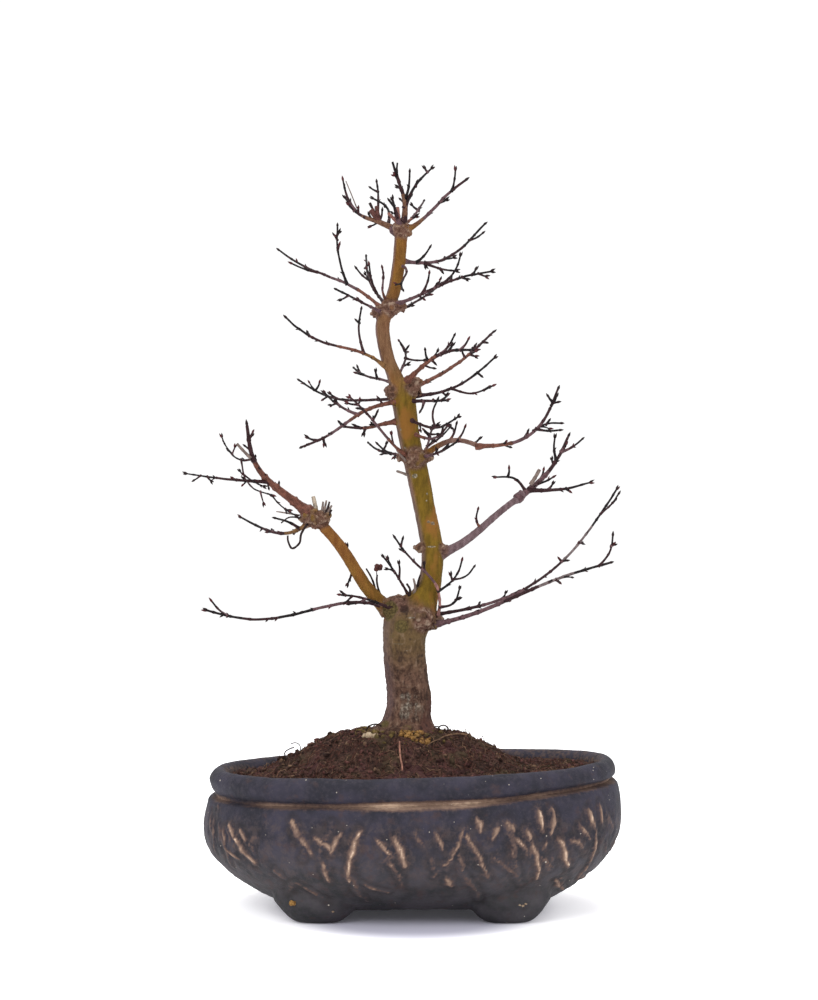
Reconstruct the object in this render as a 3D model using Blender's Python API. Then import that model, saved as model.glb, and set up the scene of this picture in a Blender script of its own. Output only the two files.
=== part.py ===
"""A leafless Japanese maple bonsai in its oval pot.

Sizes are in millimetres and become metres when a mesh is made. Heights (z) are above the surface that the
pot's feet stand on, x runs to the right and y runs away from the viewer, both from the middle of the pot.

The trunk is one solid from its flat cut on the soil to its top knob. Each bough is one tapering limb, and
each mass is one stem with the shoots that grow from it. A stem starts just clear of the trunk or the bough
that carries it.
"""

import math
import random
from collections import namedtuple

import bmesh
import bpy
import numpy as np
from mathutils import Vector, noise
from mathutils.bvhtree import BVHTree

MM = 0.001
GAP = 0.3  # between two pieces that touch
SEED = 41

# The pot
POT_LENGTH = 247.0
POT_DEPTH = 164.0
OVAL = 2.3  # exponent of the plan: 2 is an ellipse, and more is squarer
BASE_HEIGHT = 7.5  # of the underside between the feet
BASE_INSET = 41.0
BELLY_HEIGHT = 52.0
BELLY_FULLNESS = 2.1  # more keeps the wall further out below the belly
SHOULDER_HEIGHT = 66.5
SHOULDER_INSET = 3.0
GROOVE_INSET = 5.8
GROOVE_LIP = 1.2
RIM_MIDDLE = 76.2
RIM_HALF_HEIGHT = 7.6
RIM_HALF_WIDTH = 5.5
RIM_INSET = 9.0  # of the middle of the rim's roll
RIM_TURNS = (-65, -30, 0, 35, 60, 90, 120, 150, 180)  # degrees up round the roll, from outside
RIM_TILT = 3.3  # the hand-made rim stands this much higher at the right end, and lower at the left
RIM_SADDLE = 1.5  # and both its ends this much higher than its long sides
LOW_FULLNESS = 10.0  # low down, the long sides stand out this much further
POT_WALL = 8.0
POT_FLOOR = 8.0
POT_SIDES = 36
BOWL_RINGS = 8
HOLLOW_RINGS = 5
CROWDING = 1.4  # above 1, the bowl's rings lie closer together towards its underside
FOOT_PLACE = (53.5, 44.0)
FOOT_FLAT = (13.0, 8.0)  # half sizes of the part it stands on
FOOT_SPREAD = (12.0, 7.0)  # how much wider it is where it meets the bowl
FOOT_TOP = 14.0
FOOT_RISES = (0, 0.08, 0.3, 0.65, 1)  # shares of its height at which it has a ring
FOOT_SIDES = 12

# The soil
SOIL_EDGE = 78.5
GROUND = 103.0  # the trunk's flat cut
MOUND_MIDDLE = -9.0
MOUND_FLAT = 27.0
MOUND_REACH = 92.0
MOUND_SQUEEZE = 1.4  # the mound is this much shorter from front to back
LUMP_HEIGHT = 2.2  # of the mound's uneven slope
LUMP_SIZE = 13.0
LUMP_FADE = 12.0  # from the flat under the trunk to the full height of the lumps
SOIL_RINGS = 10

# The trunk: height, x, y and thickness of each station, from the flat cut to the top knob
TRUNK = (
    (103, -4, 0, 31),
    (112, -3, 0, 28),
    (122, -2, 0, 26.5),
    (139, -4, -1, 25.5),
    (153, -5, -2, 25),
    (163, -4, -2, 27),
    (172, -1, -1, 30),
    (180, 4, 0, 22),
    (188, 9, 0, 16),
    (196, 11, 0, 13.5),
    (206, 12, 1, 13.3),
    (217, 11, 3, 13.4),
    (237, 7, 5, 13.2),
    (257, 3, 5, 13.8),
    (276, -1.5, 3, 13.2),
    (291, -4, 1, 14),
    (303, -6, 0, 14.5),
    (315, -10.5, -2, 10),
    (326, -15, -3, 8.6),
    (343, -18, -2, 8.6),
    (356, -16, 1, 9),
    (366, -11.5, 3, 8.2),
    (380, -9, 3, 7.8),
    (393, -7.5, 1, 7.8),
    (404, -7, 0, 8),
)
TRUNK_SIDES = 14
TRUNK_STEP = 8.0
BIG_KNOB = 5.0  # half width above which a knob gets finer facets

# Surface roots: bearing in degrees, and how far the flare spreads that way
FLARE_HEIGHT = 9.0
FLARE = ((180, 7.5), (-15, 3), (75, 5), (250, 4), (310, 3))

# Burls and whorl knobs fused on the trunk: x, y, z of the middle, then half width and half height
KNOBS = (
    (-9, -1, 175, 9.5, 8.5),
    (5, -9, 169, 7, 6.5),
    (12, -1, 168, 6, 5),
    (5, 1, 212, 3.8, 3),
    (17, 2, 210.5, 4, 4),
    (1.5, 0, 266, 6.5, 6),
    (-6, 3, 267, 3.5, 3),
    (9, 3, 267, 3.6, 3.4),
    (-12, -1, 306, 5, 4.5),
    (0, -1, 309, 6, 6),
    (-20, 1, 354, 4.6, 4),
    (-13, -1, 356, 5, 4.5),
    (-7.5, 2, 358, 4, 3.4),
    (-6.5, 0, 404, 5.4, 5),
)

# A limb: the height at which it leaves the trunk's axis, or the bough whose tip it grows on from, then where
# its tip lies. Seen from the front, bow and sway are how far its middle and its quarters stand off the
# straight line, to the left of its way. Lean is the same for depth, towards the back. Aside shifts its root.
Limb = namedtuple(
    "Limb", "name source tip bow sway thick shoots lean aside", defaults=((), 0, 0)
)

# A shoot: how far along its parent it leaves, then how far its tip lies to the right and up from there
Shoot = namedtuple("Shoot", "share right up bow shoots", defaults=(0, ()))

BOUGHS = (
    Limb(
        "bough_left", 169, (-58, -6, 229), 1.5, 2, (8.2, 6.2),
        (Shoot(0.42, -3, -11), Shoot(0.52, 0, 6), Shoot(1, -2, 12)), aside=-5,
    ),
    Limb("bough_mid_right", 206, (65, 10, 243), -2.5, -1, (5.3, 3.8), (Shoot(0.45, -2, 11, 2),)),
    Limb(
        "bough_upper_right", 264, (40, -10, 272), 7, -1, (3.8, 2.8),
        (Shoot(0.45, 5, 11), Shoot(0.6, 5, 8), Shoot(0.88, 4, 3)),
    ),
)

# The burl at a bough's tip: half sizes along x, y and z
BURLS = {"bough_left": (8.5, 6.5, 5.5)}

MASSES = (
    Limb(
        "twigs_low_left", 172, (-118, -38, 175), -1.5, -5.5, (2.2, 1.5),
        (Shoot(0.5, -5, 5), Shoot(0.66, -4, -4), Shoot(0.89, -9, 8)),
    ),
    Limb(
        "twigs_stump_left", 174, (-42, -26, 184), 0, 1, (1.9, 1.3),
        (Shoot(0.5, -9, -3), Shoot(0.9, -4, 4)),
    ),
    Limb("twigs_stump_top", 176, (-17, -14, 206), -1, 0, (1.7, 1.2), (Shoot(0.45, 0, 9), Shoot(0.6, -4, 8))),
    Limb(
        "twigs_left_upper", "bough_left", (-97, -24, 283), 9, -2, (5, 1.6),
        (
            Shoot(0.31, 0, 5),
            Shoot(0.44, 1, -6),
            Shoot(0.42, -47, 4, 1, (Shoot(0.4, -4, 3), Shoot(0.75, 3, -3))),
            Shoot(0.52, -2, 5),
            Shoot(
                0.7, -15, 5, 3,
                (
                    Shoot(0.45, 20, -22, -6, (Shoot(0.3, 11, -6), Shoot(0.3, -4, 4), Shoot(0.98, 14, -12))),
                    Shoot(0.85, -6, 10),
                    Shoot(0.85, 2, 7),
                ),
            ),
            Shoot(0.78, -6, 6),
            Shoot(0.88, 4, 6),
        ),
    ),
    Limb(
        "twigs_left_lower", "bough_left", (-105, 22, 231), 9, 1, (3, 1.3),
        (Shoot(0.2, -14, 6, -1), Shoot(0.3, 5, -5), Shoot(0.45, -5, 4), Shoot(0.7, -4, -4)),
    ),
    Limb("twigs_back_left", 264, (-28, 58, 280), 1, -1, (2.4, 1.3), (Shoot(0.4, -8, 6), Shoot(0.6, 3, 8))),
    Limb("twigs_front_left", 264, (-36, -46, 297), 1, 1, (2.2, 1.3), (Shoot(0.61, 3, 6), Shoot(0.8, -6, 2))),
    Limb(
        "twigs_mid_left_low", 288, (-40, -8, 284), 1, -1, (3, 1.5),
        (Shoot(0.4, -1, 5), Shoot(0.6, -3, -8, 0, (Shoot(1, -6, 1),)), Shoot(0.7, -5, 3)),
    ),
    Limb(
        "twigs_mid_left", 300, (-63, -52, 268), -3, -2, (3, 1.4),
        (
            Shoot(0.43, -20, 14, 0, (Shoot(0.5, -3, 5),)),
            Shoot(0.6, -4, 6),
            Shoot(0.8, 2, -7),
            Shoot(0.86, -6, 2),
        ),
    ),
    Limb(
        "twigs_mid_left_back", 302, (-71, 42, 318), 7, -1, (2.1, 1.3),
        (Shoot(0.55, -6, 5), Shoot(0.8, 3, 7)),
    ),
    Limb(
        "twigs_whorl_left", 309, (-37, 50, 327), 1, -1, (2.2, 1.3),
        (Shoot(0.45, -1, 7), Shoot(0.75, -6, 2)),
    ),
    Limb(
        "twigs_high_left_low", 316, (-73, -38, 344), 0, -3, (2.3, 1.3),
        (Shoot(0.22, -2, 27, 2, (Shoot(0.7, -3, 4),)), Shoot(0.75, -2, 6)),
    ),
    Limb(
        "twigs_high_left", 354, (-83, 30, 398), -2, -2, (2.5, 1.3),
        (
            Shoot(0.38, -6, 35, 0, (Shoot(0.6, 1, 5), Shoot(0.85, 2, 4))),
            Shoot(0.64, -15, 4),
            Shoot(0.82, -1, 5),
        ),
    ),
    Limb("twigs_high_left_front", 353, (-44, -36, 361), 0, 0, (2, 1.3), (Shoot(0.5, -4, 5),)),
    Limb(
        "twigs_high_left_back", 358, (-29, 44, 397), 4, 0, (2.2, 1.3),
        (Shoot(0.3, -4, 16), Shoot(0.56, -8, 8)),
    ),
    Limb("twigs_high_front", 360, (-18, -20, 377), 2, 1, (1.6, 1.2)),
    Limb(
        "twigs_low_right", 163, (114, -34, 202.5), -2, -2, (3.2, 1.5),
        (Shoot(0.45, 4, 5), Shoot(0.7, 5, -3), Shoot(0.94, 7, 17, -2, (Shoot(0.7, 4, 3),))),
    ),
    Limb(
        "twigs_low_right_back", 170, (127, 34, 249), -22, 0, (2.3, 1.4),
        (Shoot(0.36, 7, 5), Shoot(0.62, -3, 5), Shoot(0.72, 1, 5), Shoot(0.88, 11, 12)),
    ),
    Limb(
        "twigs_fork", 167, (-10, -17, 217), -8, -3, (2, 1.3),
        (
            Shoot(0.12, 12, 11, -4),
            Shoot(0.3, 14, 18, -3, (Shoot(0.45, -1, 5), Shoot(0.5, 12, 7, -2))),
            Shoot(0.9, 1, 8),
        ),
        lean=-4, aside=17,
    ),
    Limb(
        "twigs_mid_right", "bough_mid_right", (96, 24, 281), -4, 0, (4, 1.5),
        (
            Shoot(0.1, -18, 9, -4, (Shoot(0.7, 1, 6),)),
            Shoot(0.14, 36, 4, -2, (Shoot(0.3, 4, 5), Shoot(0.6, 5, -3))),
            Shoot(0.25, 10, 4),
            Shoot(0.32, 3, 8),
            Shoot(0.6, -1, 5),
            Shoot(0.66, -1, 14),
            Shoot(0.78, 13, 8),
            Shoot(0.8, 4, 6),
        ),
    ),
    Limb(
        "twigs_upper_right", "bough_upper_right", (85, -28, 304), -12, 0, (2.8, 1.5),
        (
            Shoot(0.55, 16, 5, 2, (Shoot(0.5, 3, 5),)),
            Shoot(0.58, 13, -1),
            Shoot(0.85, 3, 6),
            Shoot(0.88, -3, 4),
        ),
    ),
    Limb("twigs_upper_right_front", 266, (26, -32, 273), -2, 0, (1.9, 1.3), (Shoot(0.6, 4, 6),)),
    Limb(
        "twigs_upper_right_back", 266, (13, 42, 289), -3, -1, (2.2, 1.3),
        (Shoot(0.45, 14, 12, -1), Shoot(0.7, -4, 6)),
    ),
    Limb(
        "twigs_right_low", 290, (26, -46, 286), -6, 1, (2.2, 1.3),
        (Shoot(0.6, 1, 16, 2), Shoot(0.8, 5, -3)),
    ),
    Limb("twigs_right_low_front", 282, (21, -26, 283), -6, 1, (2, 1.3), (Shoot(0.8, 0, 5),)),
    Limb(
        "twigs_right_stub", 300, (20, -22, 298), 0, 0, (2.2, 1.5),
        (Shoot(0.36, -3, -7), Shoot(0.85, 4, 4)),
    ),
    Limb(
        "twigs_whorl_right_front", 308, (36, -46, 324), 7, -1, (3.4, 1.5),
        (
            Shoot(0.35, -2, 7),
            Shoot(0.4, 5, -4),
            Shoot(0.54, 8, 11),
            Shoot(0.66, 3, 6),
            Shoot(0.81, 5, 7),
            Shoot(0.96, 3, 6),
        ),
    ),
    Limb(
        "twigs_whorl_right_back", 305, (51, 44, 349), -4, 0, (3, 1.5),
        (Shoot(0.6, -2, 6), Shoot(0.66, 6, -2), Shoot(0.85, 5, 0)),
    ),
    Limb(
        "twigs_whorl_right", 303, (49, -10, 325), -7, 0, (2.2, 1.3),
        (Shoot(0.4, 24, 0, -4, (Shoot(0.8, 5, 5),)), Shoot(0.75, 4, -3)),
    ),
    Limb("twigs_whorl_top", 312, (-8, 30, 341), -4, 1, (2, 1.2), (Shoot(0.58, 11, -2), Shoot(0.75, 3, 5))),
    Limb(
        "twigs_high_right", 357, (46, -30, 373), 2, -1, (2.4, 1.3),
        (
            Shoot(0.26, 4, 11),
            Shoot(0.4, 2, 5),
            Shoot(0.48, 11, 17, -2),
            Shoot(0.58, 0, 7),
            Shoot(0.7, 4, -2),
            Shoot(0.8, 3, 4),
        ),
    ),
    Limb("twigs_high_right_back", 352, (18, 40, 379), -2, 0, (2, 1.3), (Shoot(0.3, 6, 2), Shoot(0.7, 6, 2))),
    Limb(
        "twigs_top_right_low", 386, (45, 32, 415), -10, -1, (2.6, 1.4),
        (Shoot(0.15, 8, 8, -1), Shoot(0.23, 19, -4, -1, (Shoot(0.5, 3, -3),)), Shoot(0.77, 8, 5)),
    ),
    Limb("twigs_top_front", 384, (-6, -18, 365), 3, 2, (1.6, 1.2)),
    Limb(
        "twigs_top", 404, (-12, -4, 445), -4, -1, (4, 1.5),
        (
            Shoot(0.32, 16, 23, 2, (Shoot(0.5, 1, 6), Shoot(0.9, -2, 3))),
            Shoot(0.42, 3, 16),
            Shoot(0.6, -4, 3),
            Shoot(0.7, -1, 11),
        ),
    ),
    Limb("twigs_top_right", 402, (31, -26, 428), -1, -1, (2.4, 1.4), (Shoot(0.6, 5, 2), Shoot(0.8, 2, 11))),
    Limb("twigs_top_back", 405, (7, 34, 430), -1, 0, (2.2, 1.3), (Shoot(0.4, 6, 3), Shoot(0.7, -5, 5))),
    Limb(
        "twigs_top_left", 401, (-41, 14, 427), 2, -2, (4, 1.4),
        (
            Shoot(0.24, -9, 19, -5),
            Shoot(0.38, 2, 8),
            Shoot(0.42, 0, 27, -1),
            Shoot(0.5, -2, 7),
            Shoot(0.72, 0, 5),
            Shoot(0.78, -7, 17),
        ),
    ),
    Limb("twigs_top_left_front", 404, (-12, -20, 418), 0, 0, (3, 1.6), (Shoot(0.75, -3, 4),)),
    Limb("twigs_back_low", 214, (4, 62, 254), 0, 0, (3.4, 1.4), (Shoot(0.5, -6, 8), Shoot(0.7, 7, 5))),
    Limb("twigs_back_middle", 270, (-4, 56, 300), 0, 0, (2.8, 1.3), (Shoot(0.5, 6, 5), Shoot(0.7, -5, 7))),
    Limb("twigs_back_high", 336, (-17, 46, 362), 0, 0, (2.2, 1.3), (Shoot(0.5, -5, 5), Shoot(0.75, 5, 4))),
)

# The rule for shoots: each is a little thinner than its parent, and leans to the front or the back
LIMB_STEP = 9.0
MOST_STEPS = 5  # of a shoot
SHOOT_SHARE = 0.85
SHOOT_THICKENING = 0.05  # of its length, added to the thickness of a twig
SHOOT_BOW = 0.06
LEAN_MOST = 0.5
LEAN_TRIES = 8
LEAN_BEND = 0.15  # of the lean

# The rule that adds twigs to the shoots: pairs leave from nodes, one pair across the next
NODE_SPACING = 15.0
LAST_NODE = 0.6
TWIG_CHANCE = 0.3
TWIG_LENGTH = (5.0, 8.0)
TWIG_THICK = 1.2
TWIG_TIP = 0.9  # of its thickness at the base
TWIG_SAG = 0.05
TWIG_ANGLE = math.radians(50)
SPREAD = 0.45  # a mass keeps this share of its stem's length round the stem, and a little more
SPREAD_LEAST = 12.0
DEPTH_REACH = 82.0  # the crown stays over the pot from front to back
CROWN_TOP = 446.0

# How limbs keep clear of each other
CLEARANCE = 0.7
SAMPLES = 3  # points tested to each step of a line
RIM_POINTS = 12  # where a stem's blunt end is tested
START_STEP = 0.1
SHOOT_SKIP = 0.3  # share of a shoot near its parent that isn't tested
TWIG_SKIP = 0.4

TAPER = 0.8  # below 1, a limb thins sooner
BOUGH_SIDES = 8
STOUT = 3.5  # a thicker stem has more sides
STOUT_SIDES = 5
TWIG_SIDES = 3
SIDE_TURN = 0.7  # each tube of a mass is turned by this much more, so that facets never line up

BARK = (0.23, 0.19, 0.13)
LEADER_BARK = (0.26, 0.21, 0.06)
TWIG_BARK = (0.16, 0.07, 0.06)
GLAZE = (0.035, 0.037, 0.048)
EARTH = (0.06, 0.035, 0.025)


def material(name, colour, roughness):
    made = bpy.data.materials.new(name)
    made.use_nodes = True
    shader = made.node_tree.nodes["Principled BSDF"]
    shader.inputs["Base Color"].default_value = (*colour, 1)
    shader.inputs["Roughness"].default_value = roughness
    shader.inputs["Metallic"].default_value = 0
    return made


def solid(name, points, faces, look):
    """A mesh object from points in millimetres."""
    mesh = bpy.data.meshes.new(name)
    mesh.from_pydata([Vector(p) * MM for p in points], [], faces)
    mesh.materials.append(look)
    made = bpy.data.objects.new(name, mesh)
    bpy.context.scene.collection.objects.link(made)
    return made


def loft(name, rings, look):
    """A closed solid through rings of equal count, each end closed by a fan round its middle."""
    sides = len(rings[0])
    points = [p for ring in rings for p in ring]
    faces = []
    for low in range(0, sides * (len(rings) - 1), sides):
        for i in range(sides):
            after = (i + 1) % sides
            faces.append((low + i, low + after, low + sides + after, low + sides + i))
    for first, turn in ((0, -1), (sides * (len(rings) - 1), 1)):
        ring = points[first : first + sides]
        middle = len(points)
        points.append(sum((Vector(p) for p in ring), Vector()) / sides)
        for i in range(sides):
            a, b = first + i, first + (i + 1) % sides
            faces.append((middle, a, b)[::turn])
    return solid(name, points, faces, look)


def only_largest(mesh):
    """Drops loose scraps that a union leaves."""
    work = bmesh.new()
    work.from_mesh(mesh)
    work.verts.ensure_lookup_table()
    unseen = set(work.verts)
    bodies = []
    while unseen:
        body = {unseen.pop()}
        edge = list(body)
        while edge:
            for link in edge.pop().link_edges:
                for v in link.verts:
                    if v in unseen:
                        unseen.remove(v)
                        body.add(v)
                        edge.append(v)
        bodies.append(body)
    kept = max(bodies, key=len)
    bmesh.ops.delete(work, geom=[v for v in work.verts if v not in kept], context="VERTS")
    work.to_mesh(mesh)
    work.free()


def fuse(pieces):
    """Joins the pieces into the first one by one Boolean union, and removes the others."""
    first, *others = pieces
    if others:
        helpers = bpy.data.collections.new(first.name + " pieces")
        bpy.context.scene.collection.children.link(helpers)
        for piece in others:
            helpers.objects.link(piece)
        union = first.modifiers.new("union", "BOOLEAN")
        union.operation = "UNION"
        union.operand_type = "COLLECTION"
        union.collection = helpers
        union.solver = "EXACT"
        graph = bpy.context.evaluated_depsgraph_get()
        joined = bpy.data.meshes.new_from_object(first.evaluated_get(graph))
        first.modifiers.clear()
        first.data = joined
        for piece in others:
            bpy.data.objects.remove(piece)
        bpy.data.collections.remove(helpers)
        only_largest(first.data)
    first.data.shade_smooth()
    first.data.set_sharp_from_angle(angle=math.radians(50))
    return first


def smoothstep(t):
    t = min(max(t, 0.0), 1.0)
    return t * t * (3 - 2 * t)


def oval(half, sides, middle=(0.0, 0.0)):
    """The pot's plan, or a foot's, as a ring of points."""
    ring = []
    for i in range(sides):
        turn = 2 * math.pi * i / sides
        c, s = math.cos(turn), math.sin(turn)
        x = half[0] * math.copysign(abs(c) ** (2 / OVAL), c)
        y = half[1] * math.copysign(abs(s) ** (2 / OVAL), s)
        ring.append((x + middle[0], y + middle[1]))
    return ring


def wall_lift(x, height):
    """How much higher than level the hand-made wall stands at a place across."""
    across = x / (POT_LENGTH / 2)
    tilt = RIM_TILT * across * smoothstep(height / BELLY_HEIGHT)
    rim = smoothstep((height - SHOULDER_HEIGHT) / (RIM_MIDDLE - SHOULDER_HEIGHT))
    return tilt + RIM_SADDLE * across**2 * rim


def wall_ring(inset, height):
    """A ring of the pot's wall, or of what lies against it."""
    fuller = LOW_FULLNESS * (1 - smoothstep(height / BELLY_HEIGHT))
    half = POT_LENGTH / 2 - inset, POT_DEPTH / 2 - inset + fuller
    return [(x, y, height + wall_lift(x, height)) for x, y in oval(half, POT_SIDES)]


def wall_inset(height):
    """How far the bowl's outer face lies inside its widest oval."""
    if height < BELLY_HEIGHT:
        rise = (height - BASE_HEIGHT) / (BELLY_HEIGHT - BASE_HEIGHT)
        return BASE_INSET * (1 - rise) ** BELLY_FULLNESS
    rise = (height - BELLY_HEIGHT) / (SHOULDER_HEIGHT - BELLY_HEIGHT)
    return SHOULDER_INSET * rise**2


def inner_inset(height):
    """How far the hollow's face lies inside the widest oval."""
    return max(wall_inset(min(height, SHOULDER_HEIGHT)) + POT_WALL, RIM_INSET + RIM_HALF_WIDTH)


def hollow_levels():
    """Heights of the rings of the hollow's face, from its floor to the shoulder."""
    floor = BASE_HEIGHT + POT_FLOOR
    rise = SHOULDER_HEIGHT - floor
    return [floor + rise * (i / HOLLOW_RINGS) ** CROWDING for i in range(HOLLOW_RINGS + 1)]


def pot_profile():
    """Inset and height from the underside up the outer face, over the rim and down to the inner floor."""
    rise = BELLY_HEIGHT - BASE_HEIGHT
    bowl = [BASE_HEIGHT + rise * (i / BOWL_RINGS) ** CROWDING for i in range(BOWL_RINGS + 1)]
    levels = (*bowl, (BELLY_HEIGHT + SHOULDER_HEIGHT) / 2, SHOULDER_HEIGHT)
    profile = [(wall_inset(z), z) for z in levels]
    profile.append((GROOVE_INSET, SHOULDER_HEIGHT + GROOVE_LIP))
    for degrees in RIM_TURNS:
        turn = math.radians(degrees)
        profile.append((
            RIM_INSET - RIM_HALF_WIDTH * math.cos(turn),
            RIM_MIDDLE + RIM_HALF_HEIGHT * math.sin(turn),
        ))
    return profile + [(inner_inset(z), z) for z in reversed(hollow_levels())]


def make_pot():
    look = material("pot glaze", GLAZE, 0.6)
    pieces = [loft("pot", [wall_ring(inset, z) for inset, z in pot_profile()], look)]
    for side in (-1, 1):
        for way in (-1, 1):
            rings = []
            for rise in FOOT_RISES:
                half = [flat + more * math.sqrt(rise) for flat, more in zip(FOOT_FLAT, FOOT_SPREAD)]
                middle = (side * FOOT_PLACE[0], way * FOOT_PLACE[1])
                rings.append([(x, y, FOOT_TOP * rise) for x, y in oval(half, FOOT_SIDES, middle)])
            pieces.append(loft("foot", rings, look))
    return fuse(pieces)


def soil_height(x, y):
    """The mound's surface: flat under the trunk, and falling unevenly to the level of the edge."""
    reach = math.hypot(x - MOUND_MIDDLE, y * MOUND_SQUEEZE)
    fall = min(max((reach - MOUND_FLAT) / (MOUND_REACH - MOUND_FLAT), 0), 1)
    edge = SOIL_EDGE + wall_lift(x, SOIL_EDGE)
    slope = edge + (GROUND - GAP - edge) * math.cos(fall * math.pi / 2) ** 2
    fade = min(max((reach - MOUND_FLAT) / LUMP_FADE, 0), 1) * min(1, 4 * (1 - fall))
    return slope + LUMP_HEIGHT * fade * noise.noise((x / LUMP_SIZE, y / LUMP_SIZE, 0))


def make_soil():
    look = material("soil", EARTH, 0.95)
    floor, *levels = hollow_levels()
    heights = [floor + GAP, *levels, RIM_MIDDLE, SOIL_EDGE]
    rings = [wall_ring(inner_inset(z) + GAP, z) for z in heights]
    edge = rings[-1]
    for i in range(1, SOIL_RINGS):
        share = 1 - i / SOIL_RINGS
        ring = []
        for x, y, _ in edge:
            px, py = MOUND_MIDDLE * (1 - share) + x * share, y * share
            ring.append((px, py, soil_height(px, py)))
        rings.append(ring)
    return fuse([loft("soil", rings, look)])


def spline(stations, step):
    """Stations of any width joined by a Catmull-Rom curve, sampled about every step of the first value."""
    rows = [np.array(s, float) for s in stations]
    rows = [2 * rows[0] - rows[1], *rows, 2 * rows[-1] - rows[-2]]
    out = []
    for a, b, c, d in zip(rows, rows[1:], rows[2:], rows[3:]):
        count = max(1, round(abs(c[0] - b[0]) / step))
        for i in range(count):
            t = i / count
            out.append(0.5 * (
                2 * b + (c - a) * t + (2 * a - 5 * b + 4 * c - d) * t**2 + (3 * b - a - 3 * c + d) * t**3
            ))
    return [*out, rows[-2]]


def trunk_axis(height):
    """The middle of the trunk at a height."""
    rows = np.array(TRUNK, float)
    x, y = (np.interp(height, rows[:, 0], rows[:, k]) for k in (1, 2))
    return Vector((x, y, height))


def corner(radius, sides):
    """How far out the corners of a tube lie, for it to look as thick as a round one."""
    return radius * math.pi / (sides * math.sin(math.pi / sides))


def tube(name, path, radii, sides, look, turn=0.0):
    """A closed tube of flat faces along a path."""
    rings = []
    across = None
    for i, here in enumerate(path):
        way = (path[min(i + 1, len(path) - 1)] - path[max(i - 1, 0)]).normalized()
        if across is None:
            across = way.orthogonal().normalized()
        across = (across - way * across.dot(way)).normalized()
        beside = way.cross(across)
        ring = []
        for k in range(sides):
            a = turn + 2 * math.pi * k / sides
            ring.append(here + (across * math.cos(a) + beside * math.sin(a)) * corner(radii[i], sides))
        rings.append(ring)
    return loft(name, rings, look)


def ellipsoid(name, middle, half, look, detail=2):
    work = bmesh.new()
    bmesh.ops.create_icosphere(work, subdivisions=detail, radius=1)
    points = [[m + h * c for m, h, c in zip(middle, half, v.co)] for v in work.verts]
    faces = [[v.index for v in face.verts] for face in work.faces]
    work.free()
    return solid(name, points, faces, look)


def make_trunk():
    look = material("trunk bark", BARK, 0.8)
    rings = []
    for height, x, y, thick in spline(TRUNK, TRUNK_STEP):
        fade = max(0.0, 1 - (height - GROUND) / FLARE_HEIGHT) ** 2
        ring = []
        for k in range(TRUNK_SIDES):
            a = 2 * math.pi * k / TRUNK_SIDES
            spread = sum(
                out * max(0.0, math.cos(a - math.radians(bearing))) ** 3 for bearing, out in FLARE
            )
            r = thick / 2 + spread * fade
            ring.append((x + r * math.cos(a), y + r * math.sin(a), height))
        rings.append(ring)
    pieces = [loft("trunk", rings, look)]
    for x, y, z, wide, high in KNOBS:
        pieces.append(ellipsoid("knob", (x, y, z), (wide, wide, high), look, 2 if wide > BIG_KNOB else 1))
    return fuse(pieces)


def bent(root, tip, bow, sway, lean, steps):
    """A limb's middle line: straight from root to tip, then bowed and swayed off that line."""
    chord = tip - root
    left = Vector((-chord.z, 0, chord.x)).normalized()
    line = []
    for i in range(steps + 1):
        t = i / steps
        off = bow * math.sin(math.pi * t) + sway * math.sin(2 * math.pi * t)
        line.append(root + chord * t + left * off + Vector((0, lean * math.sin(math.pi * t), 0)))
    return line


def along(line, share):
    """The point at a share of the line's steps, and the way it runs there."""
    place = min(max(share, 0), 1) * (len(line) - 1)
    i = min(int(place), len(line) - 2)
    return line[i].lerp(line[i + 1], place - i), (line[i + 1] - line[i]).normalized()


def taper(thick, count):
    """Radii from the base to the tip, thickest just at the base."""
    base, tip = thick
    return [(base + (tip - base) * (i / (count - 1)) ** TAPER) / 2 for i in range(count)]


def samples(line, radii):
    """Points along a line, a few to each step, with the radius at each."""
    out = []
    for i in range(len(line) - 1):
        for share in (k / SAMPLES for k in range(SAMPLES)):
            out.append((line[i].lerp(line[i + 1], share), radii[i] + (radii[i + 1] - radii[i]) * share))
    return [*out, (line[-1], radii[-1])]


def is_inside(tree, point):
    """Whether a ray from the point crosses the closed surface an odd number of times."""
    way = Vector((0.31, 0.47, 0.83)).normalized()
    crossings = 0
    here = point
    while True:
        hit = tree.ray_cast(here, way)[0]
        if hit is None:
            return crossings % 2 == 1
        crossings += 1
        here = hit + way * 1e-4


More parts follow.
